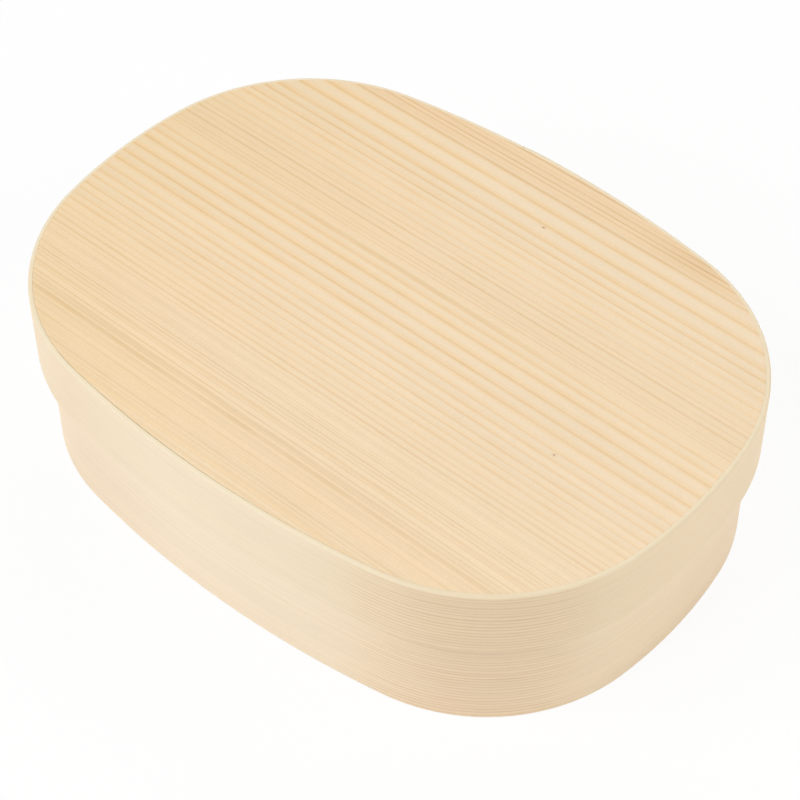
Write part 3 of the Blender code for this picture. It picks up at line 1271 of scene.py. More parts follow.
    def warm_lines(self, sheet: GroupSheet, past: Socket, change: Socket, broad: Socket) -> Socket:
        """Warms the wood before and after a growth line.

        Args:
            sheet: wiring of the growth lines.
            past: how far a place is past the nearest line.
            change: how that line changes along it.
            broad: 1 where the rings are broad and 0 where they are narrow.

        Returns:
            The wood's warmth.
        """
        before = sheet.fade(past, -BLUSH_BEFORE, 0.0)
        after = sheet.fade(past, BLUSH_AFTER, 0.0)
        blush = sheet.math("MULTIPLY", sheet.math("MINIMUM", before, after), change)
        warmth = sheet.math("MULTIPLY_ADD", broad, 1 - NARROW_WARMTH, NARROW_WARMTH)
        return sheet.math("MULTIPLY", blush, warmth)

    def build_fibres(self) -> bpy.types.NodeTree:
        """Lays the fine structure of planed softwood: streaks, flecks and clouds.

        Returns:
            The group.
        """
        patterns = {"Streak": STREAK, "Fleck": FLECK, "Cloud": CLOUD}
        inputs = {"Grain": "Vector", "Seed": "Float"}
        sheet = GroupSheet("fibres", inputs, dict.fromkeys(patterns, "Float"))
        given = sheet.given
        for output, pattern in patterns.items():
            sheet.feed(sheet.result[output], sheet.cloud(given["Grain"], pattern, given["Seed"]))
        return sheet.tree

    def build_burnish_and_highlight(self) -> bpy.types.NodeTree:
        """Burnishes arrises as sanding and handling do, a little unevenly, which also paints a
        highlight on them.

        Returns:
            The group.
        """
        inputs = {"Grain": "Vector", "Arris": "Float"}
        sheet = GroupSheet("burnished_and_highlit_arris", inputs, {"Burnish And Highlight": "Float"})
        patch = sheet.cloud(sheet.given["Grain"], WEAR_AND_HIGHLIGHT)
        worn = sheet.math("MULTIPLY_ADD", patch, WORN_HIGHLIGHT_GAIN, WORN_HIGHLIGHT_BASE)
        edge = sheet.fade(sheet.given["Arris"], 0.0, FULL_RUB_AND_HIGHLIGHT)
        sheet.feed(sheet.result["Burnish And Highlight"], sheet.math("MULTIPLY", edge, worn))
        return sheet.tree

    def build_spot(self) -> bpy.types.NodeTree:
        """Makes a pin knot or resin fleck: a dark core and the stained wood round it.

        Returns:
            The group.
        """
        inputs = dict.fromkeys(("Grain", "Centre", "Size"), "Vector")
        sheet = GroupSheet("spot", inputs, {"Core": "Float", "Halo": "Float"})
        reach = sheet.vector("SUBTRACT", sheet.given["Grain"], sheet.given["Centre"])
        scaled = sheet.vector("DIVIDE", reach, sheet.given["Size"])
        away = sheet.add("VectorMath", {0: scaled}, operation="LENGTH").outputs["Value"]
        sheet.feed(sheet.result["Core"], sheet.fade(away, *CORE_FADE))
        sheet.feed(sheet.result["Halo"], sheet.fade(away, *STAIN_FADE))
        return sheet.tree


@dataclass(frozen=True)
class GrowthZone:
    """A stretch of timber whose rings are alike: its width, ring count and contrast."""

    width: float
    rings: int
    contrast: float


@dataclass(frozen=True)
class AccentLine:
    """One growth line that stands out: its place, thickness, strength and reach."""

    across: float
    thickness: float
    strength: float
    middle: float
    reach: float


@dataclass(frozen=True)
class Spot:
    """A pin knot or resin fleck, by its centre and size along, across and through."""

    centre: tuple[float, float, float]
    size: tuple[float, float, float]


def new_finish(name: str) -> tuple[bpy.types.Material, Wiring, bpy.types.Node, Socket]:
    """Starts the material of a finish.

    Args:
        name: name of the finish.

    Returns:
        The material, its wiring, its shader and the place in the timber.
    """
    material = bpy.data.materials.new(name)
    material.use_nodes = True
    sheet = Wiring(material.node_tree)
    grain = sheet.add("Attribute", attribute_name=GRAIN).outputs["Vector"]
    return material, sheet, material.node_tree.nodes["Principled BSDF"], grain


@dataclass(frozen=True)
class TimberFinish:
    """Straight-grained softwood, planed or sanded and unvarnished.

    zones run from the highest place across the timber, which is start. tints are distances
    down from there with the colour that the wood is multiplied by, and the end tints are the
    same along the timber, from run_start; on the bands they are painted shade, darkest and
    warmest at the near corner. How clearly the growth lines show is given by distance from
    there too; on the bands they are clearest at the near corner, partly as grain and partly
    as painted shade.

    spread is how much weaker than the strongest line others may be, and uneven is how far
    narrow rings stray from their even places. streak, fleck, cloud and ring_tone are shares
    of the wood's brightness.
    """

    name: str
    pale: Color
    blush: Color
    line: Color
    start: float
    zones: tuple[GrowthZone, ...]
    slope: float = 0.0
    fan: float = 0.0
    wander: float = 0.0003
    line_thickness: float = 0.00038
    spread: float = 0.6
    uneven: float = 2.0
    tints: Tints = ()
    end_tints_and_painted_shade: Tints = ()
    clarity_and_painted_shade: tuple[tuple[float, float], ...] = ()
    run_start: float = -0.09
    run_length: float = 0.18
    accents: tuple[AccentLine, ...] = ()
    spots: tuple[Spot, ...] = ()
    stain: float = 0.5
    streak: float = 0.03
    fleck: float = 0.03
    cloud: float = 0.03
    ring_tone: float = 0.015
    # Share of the burnished colour on the arrises, which is also a painted highlight
    rub_and_highlight: float = 0.9
    specular: float = 0.35
    roughness: float = 0.58
    streak_roughness: float = 0.14
    line_polish: float = 0.05
    rubbed_polish: float = 0.1
    relief: float = 0.00004
    relief_strength: float = 0.5
    fleck_relief: float = 0.35
    line_relief: float = 0.8
    seed: float = 0.0

    @property
    def width(self) -> float:
        """Width of all the zones."""
        return sum(zone.width for zone in self.zones)

    @property
    def widest_ring(self) -> float:
        """Pitch of the rings in the zone where they are widest."""
        return max(zone.width / zone.rings for zone in self.zones)

    def zone_curves(self) -> tuple[list[tuple[float, float]], ...]:
        """Draws the zones as curves over the share of the width.

        Returns:
            Curves of ring count, contrast and pitch, each from 0 to 1.
        """
        rings = sum(zone.rings for zone in self.zones)
        counts = [(0.0, 0.0)]
        contrasts = []
        pitches = []
        passed = 0.0
        counted = 0
        for zone in self.zones:
            middle = (passed + zone.width / 2) / self.width
            contrasts.append((middle, zone.contrast))
            pitches.append((middle, zone.width / zone.rings / self.widest_ring))
            passed += zone.width
            counted += zone.rings
            counts.append((passed / self.width, counted / rings))
        for curve in (contrasts, pitches):
            curve.insert(0, (0.0, curve[0][1]))
            curve.append((1.0, curve[-1][1]))
        return counts, contrasts, pitches

    def material(self, effects: TimberEffects) -> bpy.types.Material:
        """Builds the finish.

        Args:
            effects: the shared node groups.

        Returns:
            The material.
        """
        material, sheet, shader, grain = new_finish(self.name)
        arris = sheet.add("Attribute", attribute_name=ARRIS).outputs["Fac"]
        fibres = sheet.place(effects.fibres, {"Grain": grain, "Seed": self.seed}).outputs
        line, blush, tone, share, along = self.growth(sheet, effects, grain)
        down = sheet.share(along, self.run_start, self.run_start + self.run_length)
        # Growth lines shown more or less clearly along the timber; on the bands the clearest
        # stretch, at the near corner, also paints shade there
        if self.clarity_and_painted_shade:
            points = [(distance / self.run_length, clear) for distance, clear in self.clarity_and_painted_shade]
            clear = sheet.curve(down, points)
            line = sheet.math("MULTIPLY", line, clear)
            blush = sheet.math("MULTIPLY", blush, clear)
        color = sheet.mix(blush, self.pale, self.blush)
        color = sheet.mix(line, color, self.line)
        # The tints across the timber, then those along it; on the bands the ones along it are
        # painted shade
        for tints, place, length in (
            (self.tints, share, self.width),
            (self.end_tints_and_painted_shade, down, self.run_length),
        ):
            if tints:
                stops = [(distance / length, tint) for distance, tint in tints]
                color = sheet.mix(1.0, color, sheet.ramp(place, stops), Blend.MULTIPLY)
        color = sheet.scaled(color, self.varied(sheet, fibres, tone))
        for spot in self.spots:
            color = self.with_spot(sheet, effects, grain, color, spot)
        # Burnished arrises: their pale colour is also a painted highlight on the rims and the
        # lid's foot
        burnish_and_highlight = sheet.place(effects.burnish_and_highlight, {"Grain": grain, "Arris": arris}).outputs[0]
        rub_and_highlight = sheet.math("MULTIPLY", burnish_and_highlight, self.rub_and_highlight)
        sheet.feed(shader.inputs["Base Color"], sheet.mix(rub_and_highlight, color, BURNISHED_AND_HIGHLIGHT))
        smoothest = self.roughness - self.streak_roughness / 2
        rough = sheet.math("MULTIPLY_ADD", fibres["Streak"], self.streak_roughness, smoothest)
        rough = sheet.math("MULTIPLY_ADD", line, -self.line_polish, rough)
        rough = sheet.math("MULTIPLY_ADD", burnish_and_highlight, -self.rubbed_polish, rough)
        sheet.feed(shader.inputs["Roughness"], rough)
        sheet.feed(shader.inputs["Specular IOR Level"], self.specular)
        height = sheet.math("MULTIPLY_ADD", fibres["Fleck"], self.fleck_relief, fibres["Streak"])
        height = sheet.math("MULTIPLY_ADD", line, self.line_relief, height)
        sheet.emboss(shader, height, self.relief, self.relief_strength)
        return material

    def growth(
        self, sheet: Wiring, effects: TimberEffects, grain: Socket
    ) -> tuple[Socket, ...]:
        """Wires up the growth rings.

        Args:
            sheet: the material's wiring.
            effects: the shared node groups.
            grain: place in the timber.

        Returns:
            Darkness of the growth lines, warmth of the wood beside them, each ring's tone,
            the share of the width and the place along the grain.
        """
        feeds = {"Grain": grain, "Slope": self.slope, "Fan": self.fan}
        feeds |= {"Wander": self.wander, "Seed": self.seed}
        across = sheet.place(effects.straight_grain, feeds).outputs[0]
        share = sheet.share(across, self.start, self.start - self.width)
        counts, contrasts, pitches = self.zone_curves()
        total = float(sum(zone.rings for zone in self.zones))
        rings = sheet.math("MULTIPLY", sheet.curve(share, counts, straight=True), total)
        pitch = sheet.math("MULTIPLY", sheet.curve(share, pitches), self.widest_ring)
        along = sheet.add("SeparateXYZ", {0: grain}).outputs[0]
        feeds = {"Rings": rings, "Pitch": pitch, "Along": along}
        feeds |= {"Thickness": self.line_thickness, "Spread": self.spread}
        feeds |= {"Uneven": self.uneven, "Seed": self.seed}
        lines = sheet.place(effects.growth_lines, feeds).outputs
        line = sheet.math("MULTIPLY", lines["Line"], sheet.curve(share, contrasts))
        for accent in self.accents:
            away = sheet.math("ABSOLUTE", sheet.math("SUBTRACT", across, accent.across))
            core = sheet.fade(away, accent.thickness, 0.0)
            aside = sheet.math("ABSOLUTE", sheet.math("SUBTRACT", along, accent.middle))
            near = sheet.fade(aside, accent.reach, 0.0)
            added = sheet.math("MULTIPLY", core, near)
            line = sheet.math("MULTIPLY_ADD", added, accent.strength, line)
        return line, lines["Blush"], lines["Ring Tone"], share, along

    def varied(
        self,
        sheet: Wiring,
        fibres: Sequence[Socket],
        tone: Socket,
    ) -> Socket:
        """Varies the wood's brightness with the fibres and from ring to ring.

        Args:
            sheet: the material's wiring.
            fibres: streaks, flecks and clouds.
            tone: each ring's tone.

        Returns:
            A brightness about 1.
        """
        amounts = (self.streak, self.fleck, self.cloud, self.ring_tone)
        total = 1.0 - sum(amounts)
        for amount, part in zip(amounts, (*fibres[:3], tone)):
            total = sheet.math("MULTIPLY_ADD", part, 2 * amount, total)
        return total

    def with_spot(
        self,
        sheet: Wiring,
        effects: TimberEffects,
        grain: Socket,
        color: Socket,
        spot: Spot,
    ) -> Socket:
        """Stains the colour with one spot.

        Args:
            sheet: the material's wiring.
            effects: the shared node groups.
            grain: place in the timber.
            color: the colour without the spot.
            spot: the spot.

        Returns:
            The colour with it.
        """
        feeds = {"Grain": grain, "Centre": spot.centre, "Size": spot.size}
        marks = sheet.place(effects.spot, feeds).outputs
        stain = sheet.math("MULTIPLY", marks["Halo"], self.stain)
        stained = sheet.mix(stain, color, STAIN)
        return sheet.mix(marks["Core"], stained, KNOT)


@dataclass(frozen=True)
class BarkFinish:
    """Polished inner bark of a cherry tree, with its paler pores in short lines.

    Where its noises pass the values of depth_fade and pore_fade, deep turns to brown and
    a pore shows. bleached is how much of the pore's colour it takes.
    """

    name: str
    brown: Color
    deep: Color
    pore: Color
    depth_fade: tuple[float, float] = (0.3, 0.7)
    pore_fade: tuple[float, float] = (0.6, 0.7)
    bleached: float = 0.55
    roughness: float = 0.36
    pore_roughness: float = 0.25
    relief: float = 0.00005
    relief_strength: float = 0.6
    pore_relief: float = 0.8
    fibre_seed: float = 5.0
    depth_seed: float = 2.0
    pore_seed: float = 7.0

    def material(self, effects: TimberEffects) -> bpy.types.Material:
        """Builds the finish.

        Args:
            effects: the shared node groups.

        Returns:
            The material.
        """
        material, sheet, shader, grain = new_finish(self.name)
        feeds = {"Grain": grain, "Seed": self.fibre_seed}
        streak = sheet.place(effects.fibres, feeds).outputs["Streak"]
        depth = sheet.fade(sheet.cloud(grain, BARK_DEPTH, self.depth_seed), *self.depth_fade)
        pores = sheet.fade(sheet.cloud(grain, BARK_PORES, self.pore_seed), *self.pore_fade)
        bleached = sheet.math("MULTIPLY", pores, self.bleached)
        color = sheet.mix(bleached, sheet.mix(depth, self.deep, self.brown), self.pore)
        sheet.feed(shader.inputs["Base Color"], color)
        rough = sheet.math("MULTIPLY_ADD", pores, self.pore_roughness, self.roughness)
        sheet.feed(shader.inputs["Roughness"], rough)
        height = sheet.math("MULTIPLY_ADD", pores, self.pore_relief, streak)
        sheet.emboss(shader, height, self.relief, self.relief_strength)
        return material


# Stretch of a strip that these cover, by the right from the middle of the front
BAND_START = -0.28
BAND_RUN = 0.56

# How clearly the bands' growth lines show, by distance from the start of that stretch:
# clearest just before the near corner, partly as grain and partly as painted shade there
LINES_CLEAR_AND_SHADE = (
    (0.0, 0.26),
    (0.312, 0.26),
    (0.331, 1.0),
    (0.362, 1.0),
    (0.384, 0.26),
    (0.56, 0.26),
)

# Painted shade along the bands: what their wood is multiplied by, by the same distance, darkest
# and warmest at the near corner
BAND_PAINTED_SHADE = (
    (0.000, linear(252, 250, 246)),
    (0.200, linear(252, 250, 246)),
    (0.230, linear(249, 246, 242)),
    (0.266, linear(254, 254, 253)),
    (0.307, linear(255, 255, 253)),
    (0.343, linear(253, 247, 240)),
    (0.380, linear(255, 254, 251)),
    (0.418, linear(252, 250, 248)),
    (0.560, linear(252, 250, 248)),
)

# The timbers, from the back edge or the top edge down

LID_BOARD_TIMBER = TimberFinish(
    name="planed_lid_board",
    pale=linear(246, 224, 193),
    blush=linear(246, 214, 168),
    line=linear(223, 190, 138),
    start=0.0654,
    zones=(
        GrowthZone(width=0.0100, rings=7, contrast=0.78),
        GrowthZone(width=0.0132, rings=3, contrast=0.6),
        GrowthZone(width=0.0083, rings=3, contrast=0.55),
        GrowthZone(width=0.0075, rings=3, contrast=0.46),
        GrowthZone(width=0.0140, rings=8, contrast=0.5),
        GrowthZone(width=0.0208, rings=6, contrast=0.5),
        GrowthZone(width=0.0078, rings=3, contrast=0.48),
        GrowthZone(width=0.0086, rings=4, contrast=0.46),
        GrowthZone(width=0.0071, rings=4, contrast=0.46),
        GrowthZone(width=0.0081, rings=7, contrast=0.5),
        GrowthZone(width=0.0089, rings=7, contrast=0.62),
        GrowthZone(width=0.0170, rings=14, contrast=0.3),
    ),
    slope=0.0195,
    fan=0.05,
    wander=0.0003,
    spread=0.6,
    streak=0.05,
    fleck=0.055,
    cloud=0.035,
    tints=(
        (0.0000, linear(250, 245, 237)),
        (0.0060, linear(253, 247, 240)),
        (0.0095, linear(254, 252, 249)),
        (0.0130, linear(254, 254, 252)),
        (0.0300, linear(254, 254, 253)),
        (0.0480, linear(253, 252, 249)),
        (0.0620, linear(254, 254, 253)),
        (0.0800, linear(255, 255, 255)),
        (0.1100, linear(255, 255, 254)),
        (0.1180, linear(255, 253, 248)),
        (0.1260, linear(255, 255, 252)),
    ),
    end_tints_and_painted_shade=(
        (0.00, linear(251, 248, 239)),
        (0.05, linear(254, 252, 248)),
        (0.09, linear(254, 254, 254)),
        (0.18, linear(255, 255, 255)),
    ),
    clarity_and_painted_shade=((0.0, 1.0), (0.11, 1.0), (0.15, 0.85), (0.18, 0.8)),
    accents=(
        AccentLine(across=0.0595, thickness=0.0060, strength=0.33, middle=0.046, reach=0.022),
        AccentLine(across=0.0554, thickness=0.0009, strength=0.4, middle=0.0, reach=0.12),
        AccentLine(across=0.0121, thickness=0.0009, strength=0.45, middle=-0.005, reach=0.07),
        AccentLine(across=-0.0469, thickness=0.0005, strength=0.5, middle=-0.01, reach=0.09),
        AccentLine(across=-0.0478, thickness=0.0035, strength=0.13, middle=-0.048, reach=0.03),
    ),
    spots=(
        Spot(centre=(0.0098, 0.0455, 0.049), size=(0.00028, 0.0002, 0.002)),
        Spot(centre=(0.0563, -0.0106, 0.049), size=(0.0002, 0.0002, 0.002)),
    ),
)

LID_BAND_TIMBER = TimberFinish(
    name="sanded_lid_band",
    pale=linear(245, 227, 199),
    blush=linear(241, 221, 188),
    line=linear(228, 202, 165),
    start=0.050,
    zones=(
        GrowthZone(width=0.008, rings=8, contrast=0.75),
        GrowthZone(width=0.007, rings=6, contrast=0.9),
        GrowthZone(width=0.007, rings=7, contrast=0.75),
    ),
    wander=0.0007,
    spread=0.3,
    uneven=0.7,
    streak=0.04,
    fleck=0.055,
    end_tints_and_painted_shade=BAND_PAINTED_SHADE,
    clarity_and_painted_shade=LINES_CLEAR_AND_SHADE,
    run_start=BAND_START,
    run_length=BAND_RUN,
    seed=11.0,
)

BODY_BAND_TIMBER = TimberFinish(
    name="sanded_body_band",
    pale=linear(247, 229, 203),
    blush=linear(242, 221, 190),
    line=linear(230, 202, 166),
    start=0.046,
    zones=(
        GrowthZone(width=0.0180, rings=17, contrast=0.7),
        GrowthZone(width=0.0035, rings=3, contrast=0.2),
        GrowthZone(width=0.0105, rings=10, contrast=0.85),
        GrowthZone(width=0.0140, rings=13, contrast=0.8),
    ),
    wander=0.0009,
    spread=0.3,
    uneven=0.7,
    streak=0.04,
    fleck=0.055,
    end_tints_and_painted_shade=BAND_PAINTED_SHADE,
    clarity_and_painted_shade=LINES_CLEAR_AND_SHADE,
    run_start=BAND_START,
    run_length=BAND_RUN,
    seed=23.0,
)

BASE_BOARD_TIMBER = TimberFinish(
    name="planed_base_board",
    pale=linear(240, 219, 187),
    blush=linear(240, 213, 176),
    line=linear(230, 200, 158),
    start=0.0640,
    zones=(
        GrowthZone(width=0.030, rings=14, contrast=0.7),
        GrowthZone(width=0.040, rings=24, contrast=0.6),
        GrowthZone(width=0.058, rings=22, contrast=0.8),
    ),
    slope=-0.03,
    wander=0.0006,
    seed=37.0,
)

DIVIDER_TIMBER = TimberFinish(
    name="planed_divider",
    pale=linear(242, 223, 192),
    blush=linear(242, 217, 182),
    line=linear(232, 203, 164),
    start=0.038,
    zones=(
        GrowthZone(width=0.018, rings=9, contrast=0.7),
        GrowthZone(width=0.017, rings=11, contrast=0.6),
    ),
    slope=0.015,
    wander=0.0005,
    seed=53.0,
)

CHERRY_BARK = BarkFinish(
    name="polished_cherry_bark",
    brown=linear(122, 66, 44),
    deep=linear(84, 40, 28),
    pore=linear(168, 118, 84),
)


class SubAssembly:
    """A group of pieces that moves as one body of the model."""

    body: ClassVar[str]

    def dress(
        self, node: str, piece: bpy.types.Object, material: bpy.types.Material
    ) -> None:
        """Gives a piece its finish and puts it in the place of a node of the model.

        Args:
            node: the node that the piece stands in for, which is hidden.
            piece: the finer piece.
            material: its finish.
        """
        piece.data.materials.clear()
        piece.data.materials.append(material)
        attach(piece, self.body)
        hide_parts(node)
        LOG.info("%s rides on %s: %d points", piece.name, self.body, len(piece.data.vertices))


def arris_arc(inset: float, height: float, start: float) -> list[tuple[float, float]]:
    """Quarter arc of a rim's inner arris.

    Args:
        inset: inset of the arc's centre.
        height: height of its centre.
        start: direction from the centre to its first point, in quarter turns.

    Returns:
        Inset and height of points along it, turning anticlockwise.
    """
    arc = []
    for step in range(ROUND_STEPS + 1):
        angle = QUARTER_TURN * (start + step / ROUND_STEPS)
        arc.append((inset + RIM_ARRIS * math.cos(angle), height + RIM_ARRIS * math.sin(angle)))
    return arc


@dataclass(frozen=True)
class LacedShell(SubAssembly):
    """A hoop with a board let into one of its rims and a lacing through its lap.

    inset is that of its wall from the lid's, and seat is the height at which the board
    ends inside the hoop. rounds and the proud sides are those of the hoop's strip. kind
    begins the names of its nodes and pieces, apart from those of its board.
    """

    plan: Plan
    inset: float
    bottom: float
    top: float
    seat: float
    band_thickness: float
    rim_width: float
    rounds: tuple[float, float, float, float]
    proud_outside: float
    proud_inside: float
    wide_seam: float
    widest_at: float
    seam_seed: float
    stitches: int
    slit_margin: float = 0.0025
    kind: ClassVar[str]
    rim: ClassVar[Rim]
    tip: ClassVar[LapTip]
    board_node: ClassVar[str]
    board_piece: ClassVar[str]
    board_timber: ClassVar[TimberFinish]
    band_timber: ClassVar[TimberFinish]

    @cached_property
    def board(self) -> Board:
        """The board, flush with its rim."""
        on_top = self.rim is Rim.TOP
        return Board(
            plan=self.plan,
            rim_inset=self.inset + self.rim_width,
            bottom=self.seat + TOUCH if on_top else self.bottom,
            top=self.top if on_top else self.seat - TOUCH,
            wide_seam=self.wide_seam,
            widest_at=self.widest_at,
            seed=self.seam_seed,
        )

    @cached_property
    def strip(self) -> Strip:
        """The strip that the hoop is bent from."""
        return Strip(
            plan=self.plan,
            inset=self.inset,
            thickness=self.band_thickness,
            bottom=self.bottom,
            top=self.top,
            proud_outside=self.proud_outside,
            proud_inside=self.proud_inside,
            rounds=self.rounds,
            tip=self.tip,
        )

    @cached_property
    def lacing(self) -> Lacing:
        """The bark tape through the lap, between the board and the open rim."""
        low, high = (self.bottom, self.seat) if self.rim is Rim.TOP else (self.seat, self.top)
        return Lacing(self.strip, low + self.slit_margin, high - self.slit_margin, self.stitches)

    @property
    def seat_profile(self) -> list[tuple[float, float]]:
        """Inset and height of what the board's seat is cut with, from the bottom up."""
        rim = self.inset + self.rim_width
        inner = rim - RIM_ARRIS
        if self.rim is Rim.TOP:
            arc = arris_arc(inner, self.top - RIM_ARRIS, 0)
            return [(rim, self.seat), *arc, (inner, self.top + CUT_MARGIN)]
        arc = arris_arc(inner, self.bottom + RIM_ARRIS, -1)
        return [(inner, self.bottom - CUT_MARGIN), *arc, (rim, self.seat)]

    def hoop(self) -> bpy.types.Object:
        """Makes the hoop, with its board's seat and its slits cut.

        Returns:
            The piece, with its grain marked.
        """
        name = f"{self.kind}_hoop"
        band = add_piece(name, self.strip.mesh(name))
        seat = outline_stack(f"{self.kind}_seat", self.plan, self.seat_profile)
        subtract(band, seat, Solver.SEAT)
        subtract(band, self.lacing.slits(f"{self.kind}_slits"), Solver.SLIT)
        points = [Vector(vertex.co) for vertex in band.data.vertices]
        places = [self.strip.grain(point) for point in points]
        mark(band.data, places, [self.strip.arris(point) for point in points])
        return band

    def build(self, effects: TimberEffects, bark: bpy.types.Material) -> None:
        """Builds and dresses the board, the hoop and the lacing.

        Args:
            effects: the shared node groups.
            bark: finish of the lacing.
        """
        board = add_piece(self.board_piece, self.board.mesh(self.board_piece))
        self.dress(self.board_node, board, self.board_timber.material(effects))
        self.dress(f"{self.kind}_band", self.hoop(), self.band_timber.material(effects))
        name = f"{self.kind}_bark_tape"
        self.dress(f"{self.kind}_lacing", add_piece(name, self.lacing.mesh(name)), bark)


@dataclass(frozen=True)
class Lid(LacedShell):
    """The lid: a shallow hoop that slips over the body, round a board let into its top.

    The outer tip of its lap stands proud.
    """

    band_thickness: float = 0.0019
    rim_width: float = 0.0011
    rounds: tuple[float, float, float, float] = (0.0004, 0.0007, 0.0003, 0.0003)
    proud_outside: float = Lap().step
    proud_inside: float = 0.0
    wide_seam: float = 0.00027
    widest_at: float = math.radians(-94)
    seam_seed: float = 3.0
    stitches: int = 2
    body: ClassVar[str] = "lid"
    kind: ClassVar[str] = "lid"
    rim: ClassVar[Rim] = Rim.TOP
    tip: ClassVar[LapTip] = LapTip.LEFT
    board_node: ClassVar[str] = "lid_board"
    board_piece: ClassVar[str] = "lid_top_board"
    board_timber: ClassVar[TimberFinish] = LID_BOARD_TIMBER
    band_timber: ClassVar[TimberFinish] = LID_BAND_TIMBER


@dataclass(frozen=True)
class Body(LacedShell):
    """The body: a deeper hoop round the base board, which is let into its foot.

    The outer tip of its lap is let in flush, and the inner tip stands proud.
    """

    band_thickness: float = 0.0024
    rim_width: float = 0.0012
    rounds: tuple[float, float, float, float] = (0.0004, 0.0007, 0.0007, 0.0003)
    proud_outside: float = 0.0
    proud_inside: float = Lap().step
    wide_seam: float = 0.00012
    widest_at: float = math.radians(80)
    seam_seed: float = 8.0
    stitches: int = 4
    body: ClassVar[str] = "box"
    kind: ClassVar[str] = "body"
    rim: ClassVar[Rim] = Rim.FOOT
    tip: ClassVar[LapTip] = LapTip.RIGHT
    board_node: ClassVar[str] = "base_board"
    board_piece: ClassVar[str] = "body_base_board"
    board_timber: ClassVar[TimberFinish] = BASE_BOARD_TIMBER
    band_timber: ClassVar[TimberFinish] = BODY_BAND_TIMBER


@dataclass(frozen=True)
class Divider(SubAssembly):
    """The loose plank that parts the inside."""

    low: Vector
    high: Vector
    round: float = 0.0008
    body: ClassVar[str] = "divider"

    def build(self, effects: TimberEffects) -> None:
        """Builds and dresses the plank.

        Args:
            effects: the shared node groups.
        """
        plank = Plank(self.low, self.high, self.round)
        piece = add_piece("divider_plank", plank.mesh("divider_plank"))
        self.dress("divider", piece, DIVIDER_TIMBER.material(effects))


def bearing(azimuth: float, elevation: float) -> Vector:
    """Points from the box to a place round it.

    Args:
        azimuth: how far round from the front the place is, by the right, in degrees.
        elevation: how far up, in degrees.

    Returns:
        The direction.
    """
    turn, lift = math.radians(azimuth), math.radians(elevation)
    across = math.cos(lift)
    return Vector((math.sin(turn) * across, -math.cos(turn) * across, math.sin(lift)))


@dataclass(frozen=True)
class PhotoCamera:
    """Camera at the photograph's viewing angle."""

    azimuth: float = 40.319
    elevation: float = 48.297
    roll: float = -0.348
    distance: float = 0.594
    target: tuple[float, float, float] = (0.00498, -0.00341, 0.02441)
    focal_pixels: float = 2452.3

    def build(self) -> None:
        """Makes the camera the scene's."""
        data = bpy.data.cameras.new("photo_camera")
        data.sensor_width = SENSOR_WIDTH / MM
        data.lens = self.focal_pixels / PHOTO_SIZE * data.sensor_width
        camera = bpy.data.objects.new("photo_camera", data)
        bpy.context.scene.collection.objects.link(camera)
        back = bearing(self.azimuth, self.elevation)
        right = Vector((0, 0, 1)).cross(back).normalized()
        right = Matrix.Rotation(math.radians(self.roll), 3, back) @ right
        up = back.cross(right)
        axes = Matrix((right, up, back)).transposed().to_4x4()
        place = Vector(self.target) + back * self.distance
        camera.matrix_world = Matrix.Translation(place) @ axes
        bpy.context.scene.camera = camera


@dataclass(frozen=True)
class SoftBox:
    """A large square lamp that faces the box."""

    name: str
    azimuth: float
    elevation: float
    power: float
    size: float = 0.9
    distance: float = 1.3
    color: tuple[float, float, float] = (1.0, 1.0, 1.0)

    def build(self) -> None:
        """Hangs the lamp."""
        data = bpy.data.lights.new(self.name, "AREA")
        data.energy = self.power
        data.size = self.size
        data.color = self.color
        lamp = bpy.data.objects.new(self.name, data)
        bpy.context.scene.collection.objects.link(lamp)
        away = bearing(self.azimuth, self.elevation)
        lamp.location = away * self.distance
        lamp.rotation_euler = away.to_track_quat("Z", "Y").to_euler()


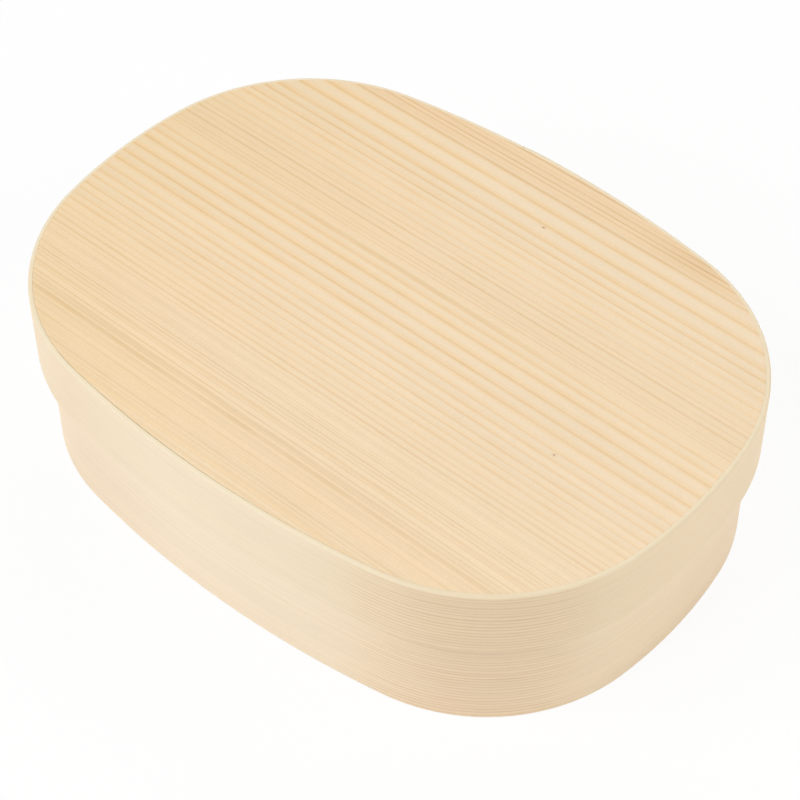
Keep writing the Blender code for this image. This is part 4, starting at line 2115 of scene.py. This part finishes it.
@dataclass(frozen=True)
class WhiteStudio:
    """Pale floor and soft light from all round, on a background that shows white."""

    dome: float = 0.2
    floor_size: float = 6.0
    floor_drop: float = 0.0001
    floor_lift: float = 0.91
    paper: Color = linear(253, 253, 253)
    lamps: tuple[SoftBox, ...] = (
        SoftBox("key_lamp", azimuth=-25, elevation=42, power=12.2, color=(0.955, 0.97, 1.0)),
        SoftBox("side_lamp", azimuth=110, elevation=30, power=7.5, color=(1.0, 0.95, 0.86)),
        SoftBox("back_lamp", azimuth=205, elevation=40, power=4.5),
    )

    def seen(self, sheet: Wiring) -> Socket:
        """Tells the rays that show the studio from those that only carry its light.

        Args:
            sheet: wiring of the material or the world.

        Returns:
            1 for the camera's rays, and for those that gloss or glass sends on.
        """
        path = sheet.add("LightPath").outputs
        both = sheet.math("MAXIMUM", path["Is Camera Ray"], path["Is Glossy Ray"])
        return sheet.math("MAXIMUM", both, path["Is Transmission Ray"])

    def build(self) -> None:
        """Builds the floor, the dome of light and the lamps."""
        self.build_floor()
        self.build_dome()
        for lamp in self.lamps:
            lamp.build()

    def build_floor(self) -> None:
        """Lays the floor, which keeps a faint shadow of the box."""
        half = self.floor_size / 2
        corners = [(-half, -half, 0), (half, -half, 0), (half, half, 0), (-half, half, 0)]
        mesh = bpy.data.meshes.new("studio_floor")
        mesh.from_pydata(corners, [], [(0, 1, 2, 3)])
        floor = add_piece("studio_floor", mesh)
        floor.location.z = -self.floor_drop
        material = bpy.data.materials.new("white_paper")
        material.use_nodes = True
        sheet = Wiring(material.node_tree)
        sheet.tree.nodes.clear()
        paper = sheet.add("BsdfDiffuse", {"Color": self.paper}).outputs[0]
        glow = sheet.add("Emission", {"Color": WHITE, "Strength": 1.0}).outputs[0]
        lift = sheet.math("MULTIPLY", self.seen(sheet), self.floor_lift)
        both = sheet.add("MixShader", {0: lift, 1: paper, 2: glow}).outputs[0]
        sheet.add("OutputMaterial", {"Surface": both})
        mesh.materials.append(material)

    def build_dome(self) -> None:
        """Lights the world evenly, and shows it white."""
        world = bpy.data.worlds.new("white_studio")
        world.use_nodes = True
        bpy.context.scene.world = world
        sheet = Wiring(world.node_tree)
        shader = world.node_tree.nodes["Background"]
        sheet.feed(shader.inputs["Color"], WHITE)
        lift = sheet.math("MULTIPLY_ADD", self.seen(sheet), 1 - self.dome, self.dome)
        sheet.feed(shader.inputs["Strength"], lift)


def main() -> None:
    """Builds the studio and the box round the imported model."""
    logging.basicConfig(level=logging.INFO, format="%(name)s: %(message)s")
    bpy.context.scene.view_settings.view_transform = "Standard"
    PhotoCamera().build()
    WhiteStudio().build()
    lid_low, lid_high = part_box("lid_band")
    body_low, body_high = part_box("body_band")
    divider_low, divider_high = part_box("divider")
    plan = Plan(length=2 * lid_high.x, width=-2 * lid_low.y)
    effects = TimberEffects()
    bark = CHERRY_BARK.material(effects)
    step = lid_high.x - body_high.x
    body = Body(plan, inset=step, bottom=body_low.z, top=body_high.z, seat=divider_low.z)
    lid = Lid(plan, inset=0.0, bottom=lid_low.z, top=lid_high.z, seat=body_high.z)
    for shell in (body, lid):
        shell.build(effects, bark)
    Divider(divider_low, divider_high).build(effects)


if __name__ == "__main__":
    main()
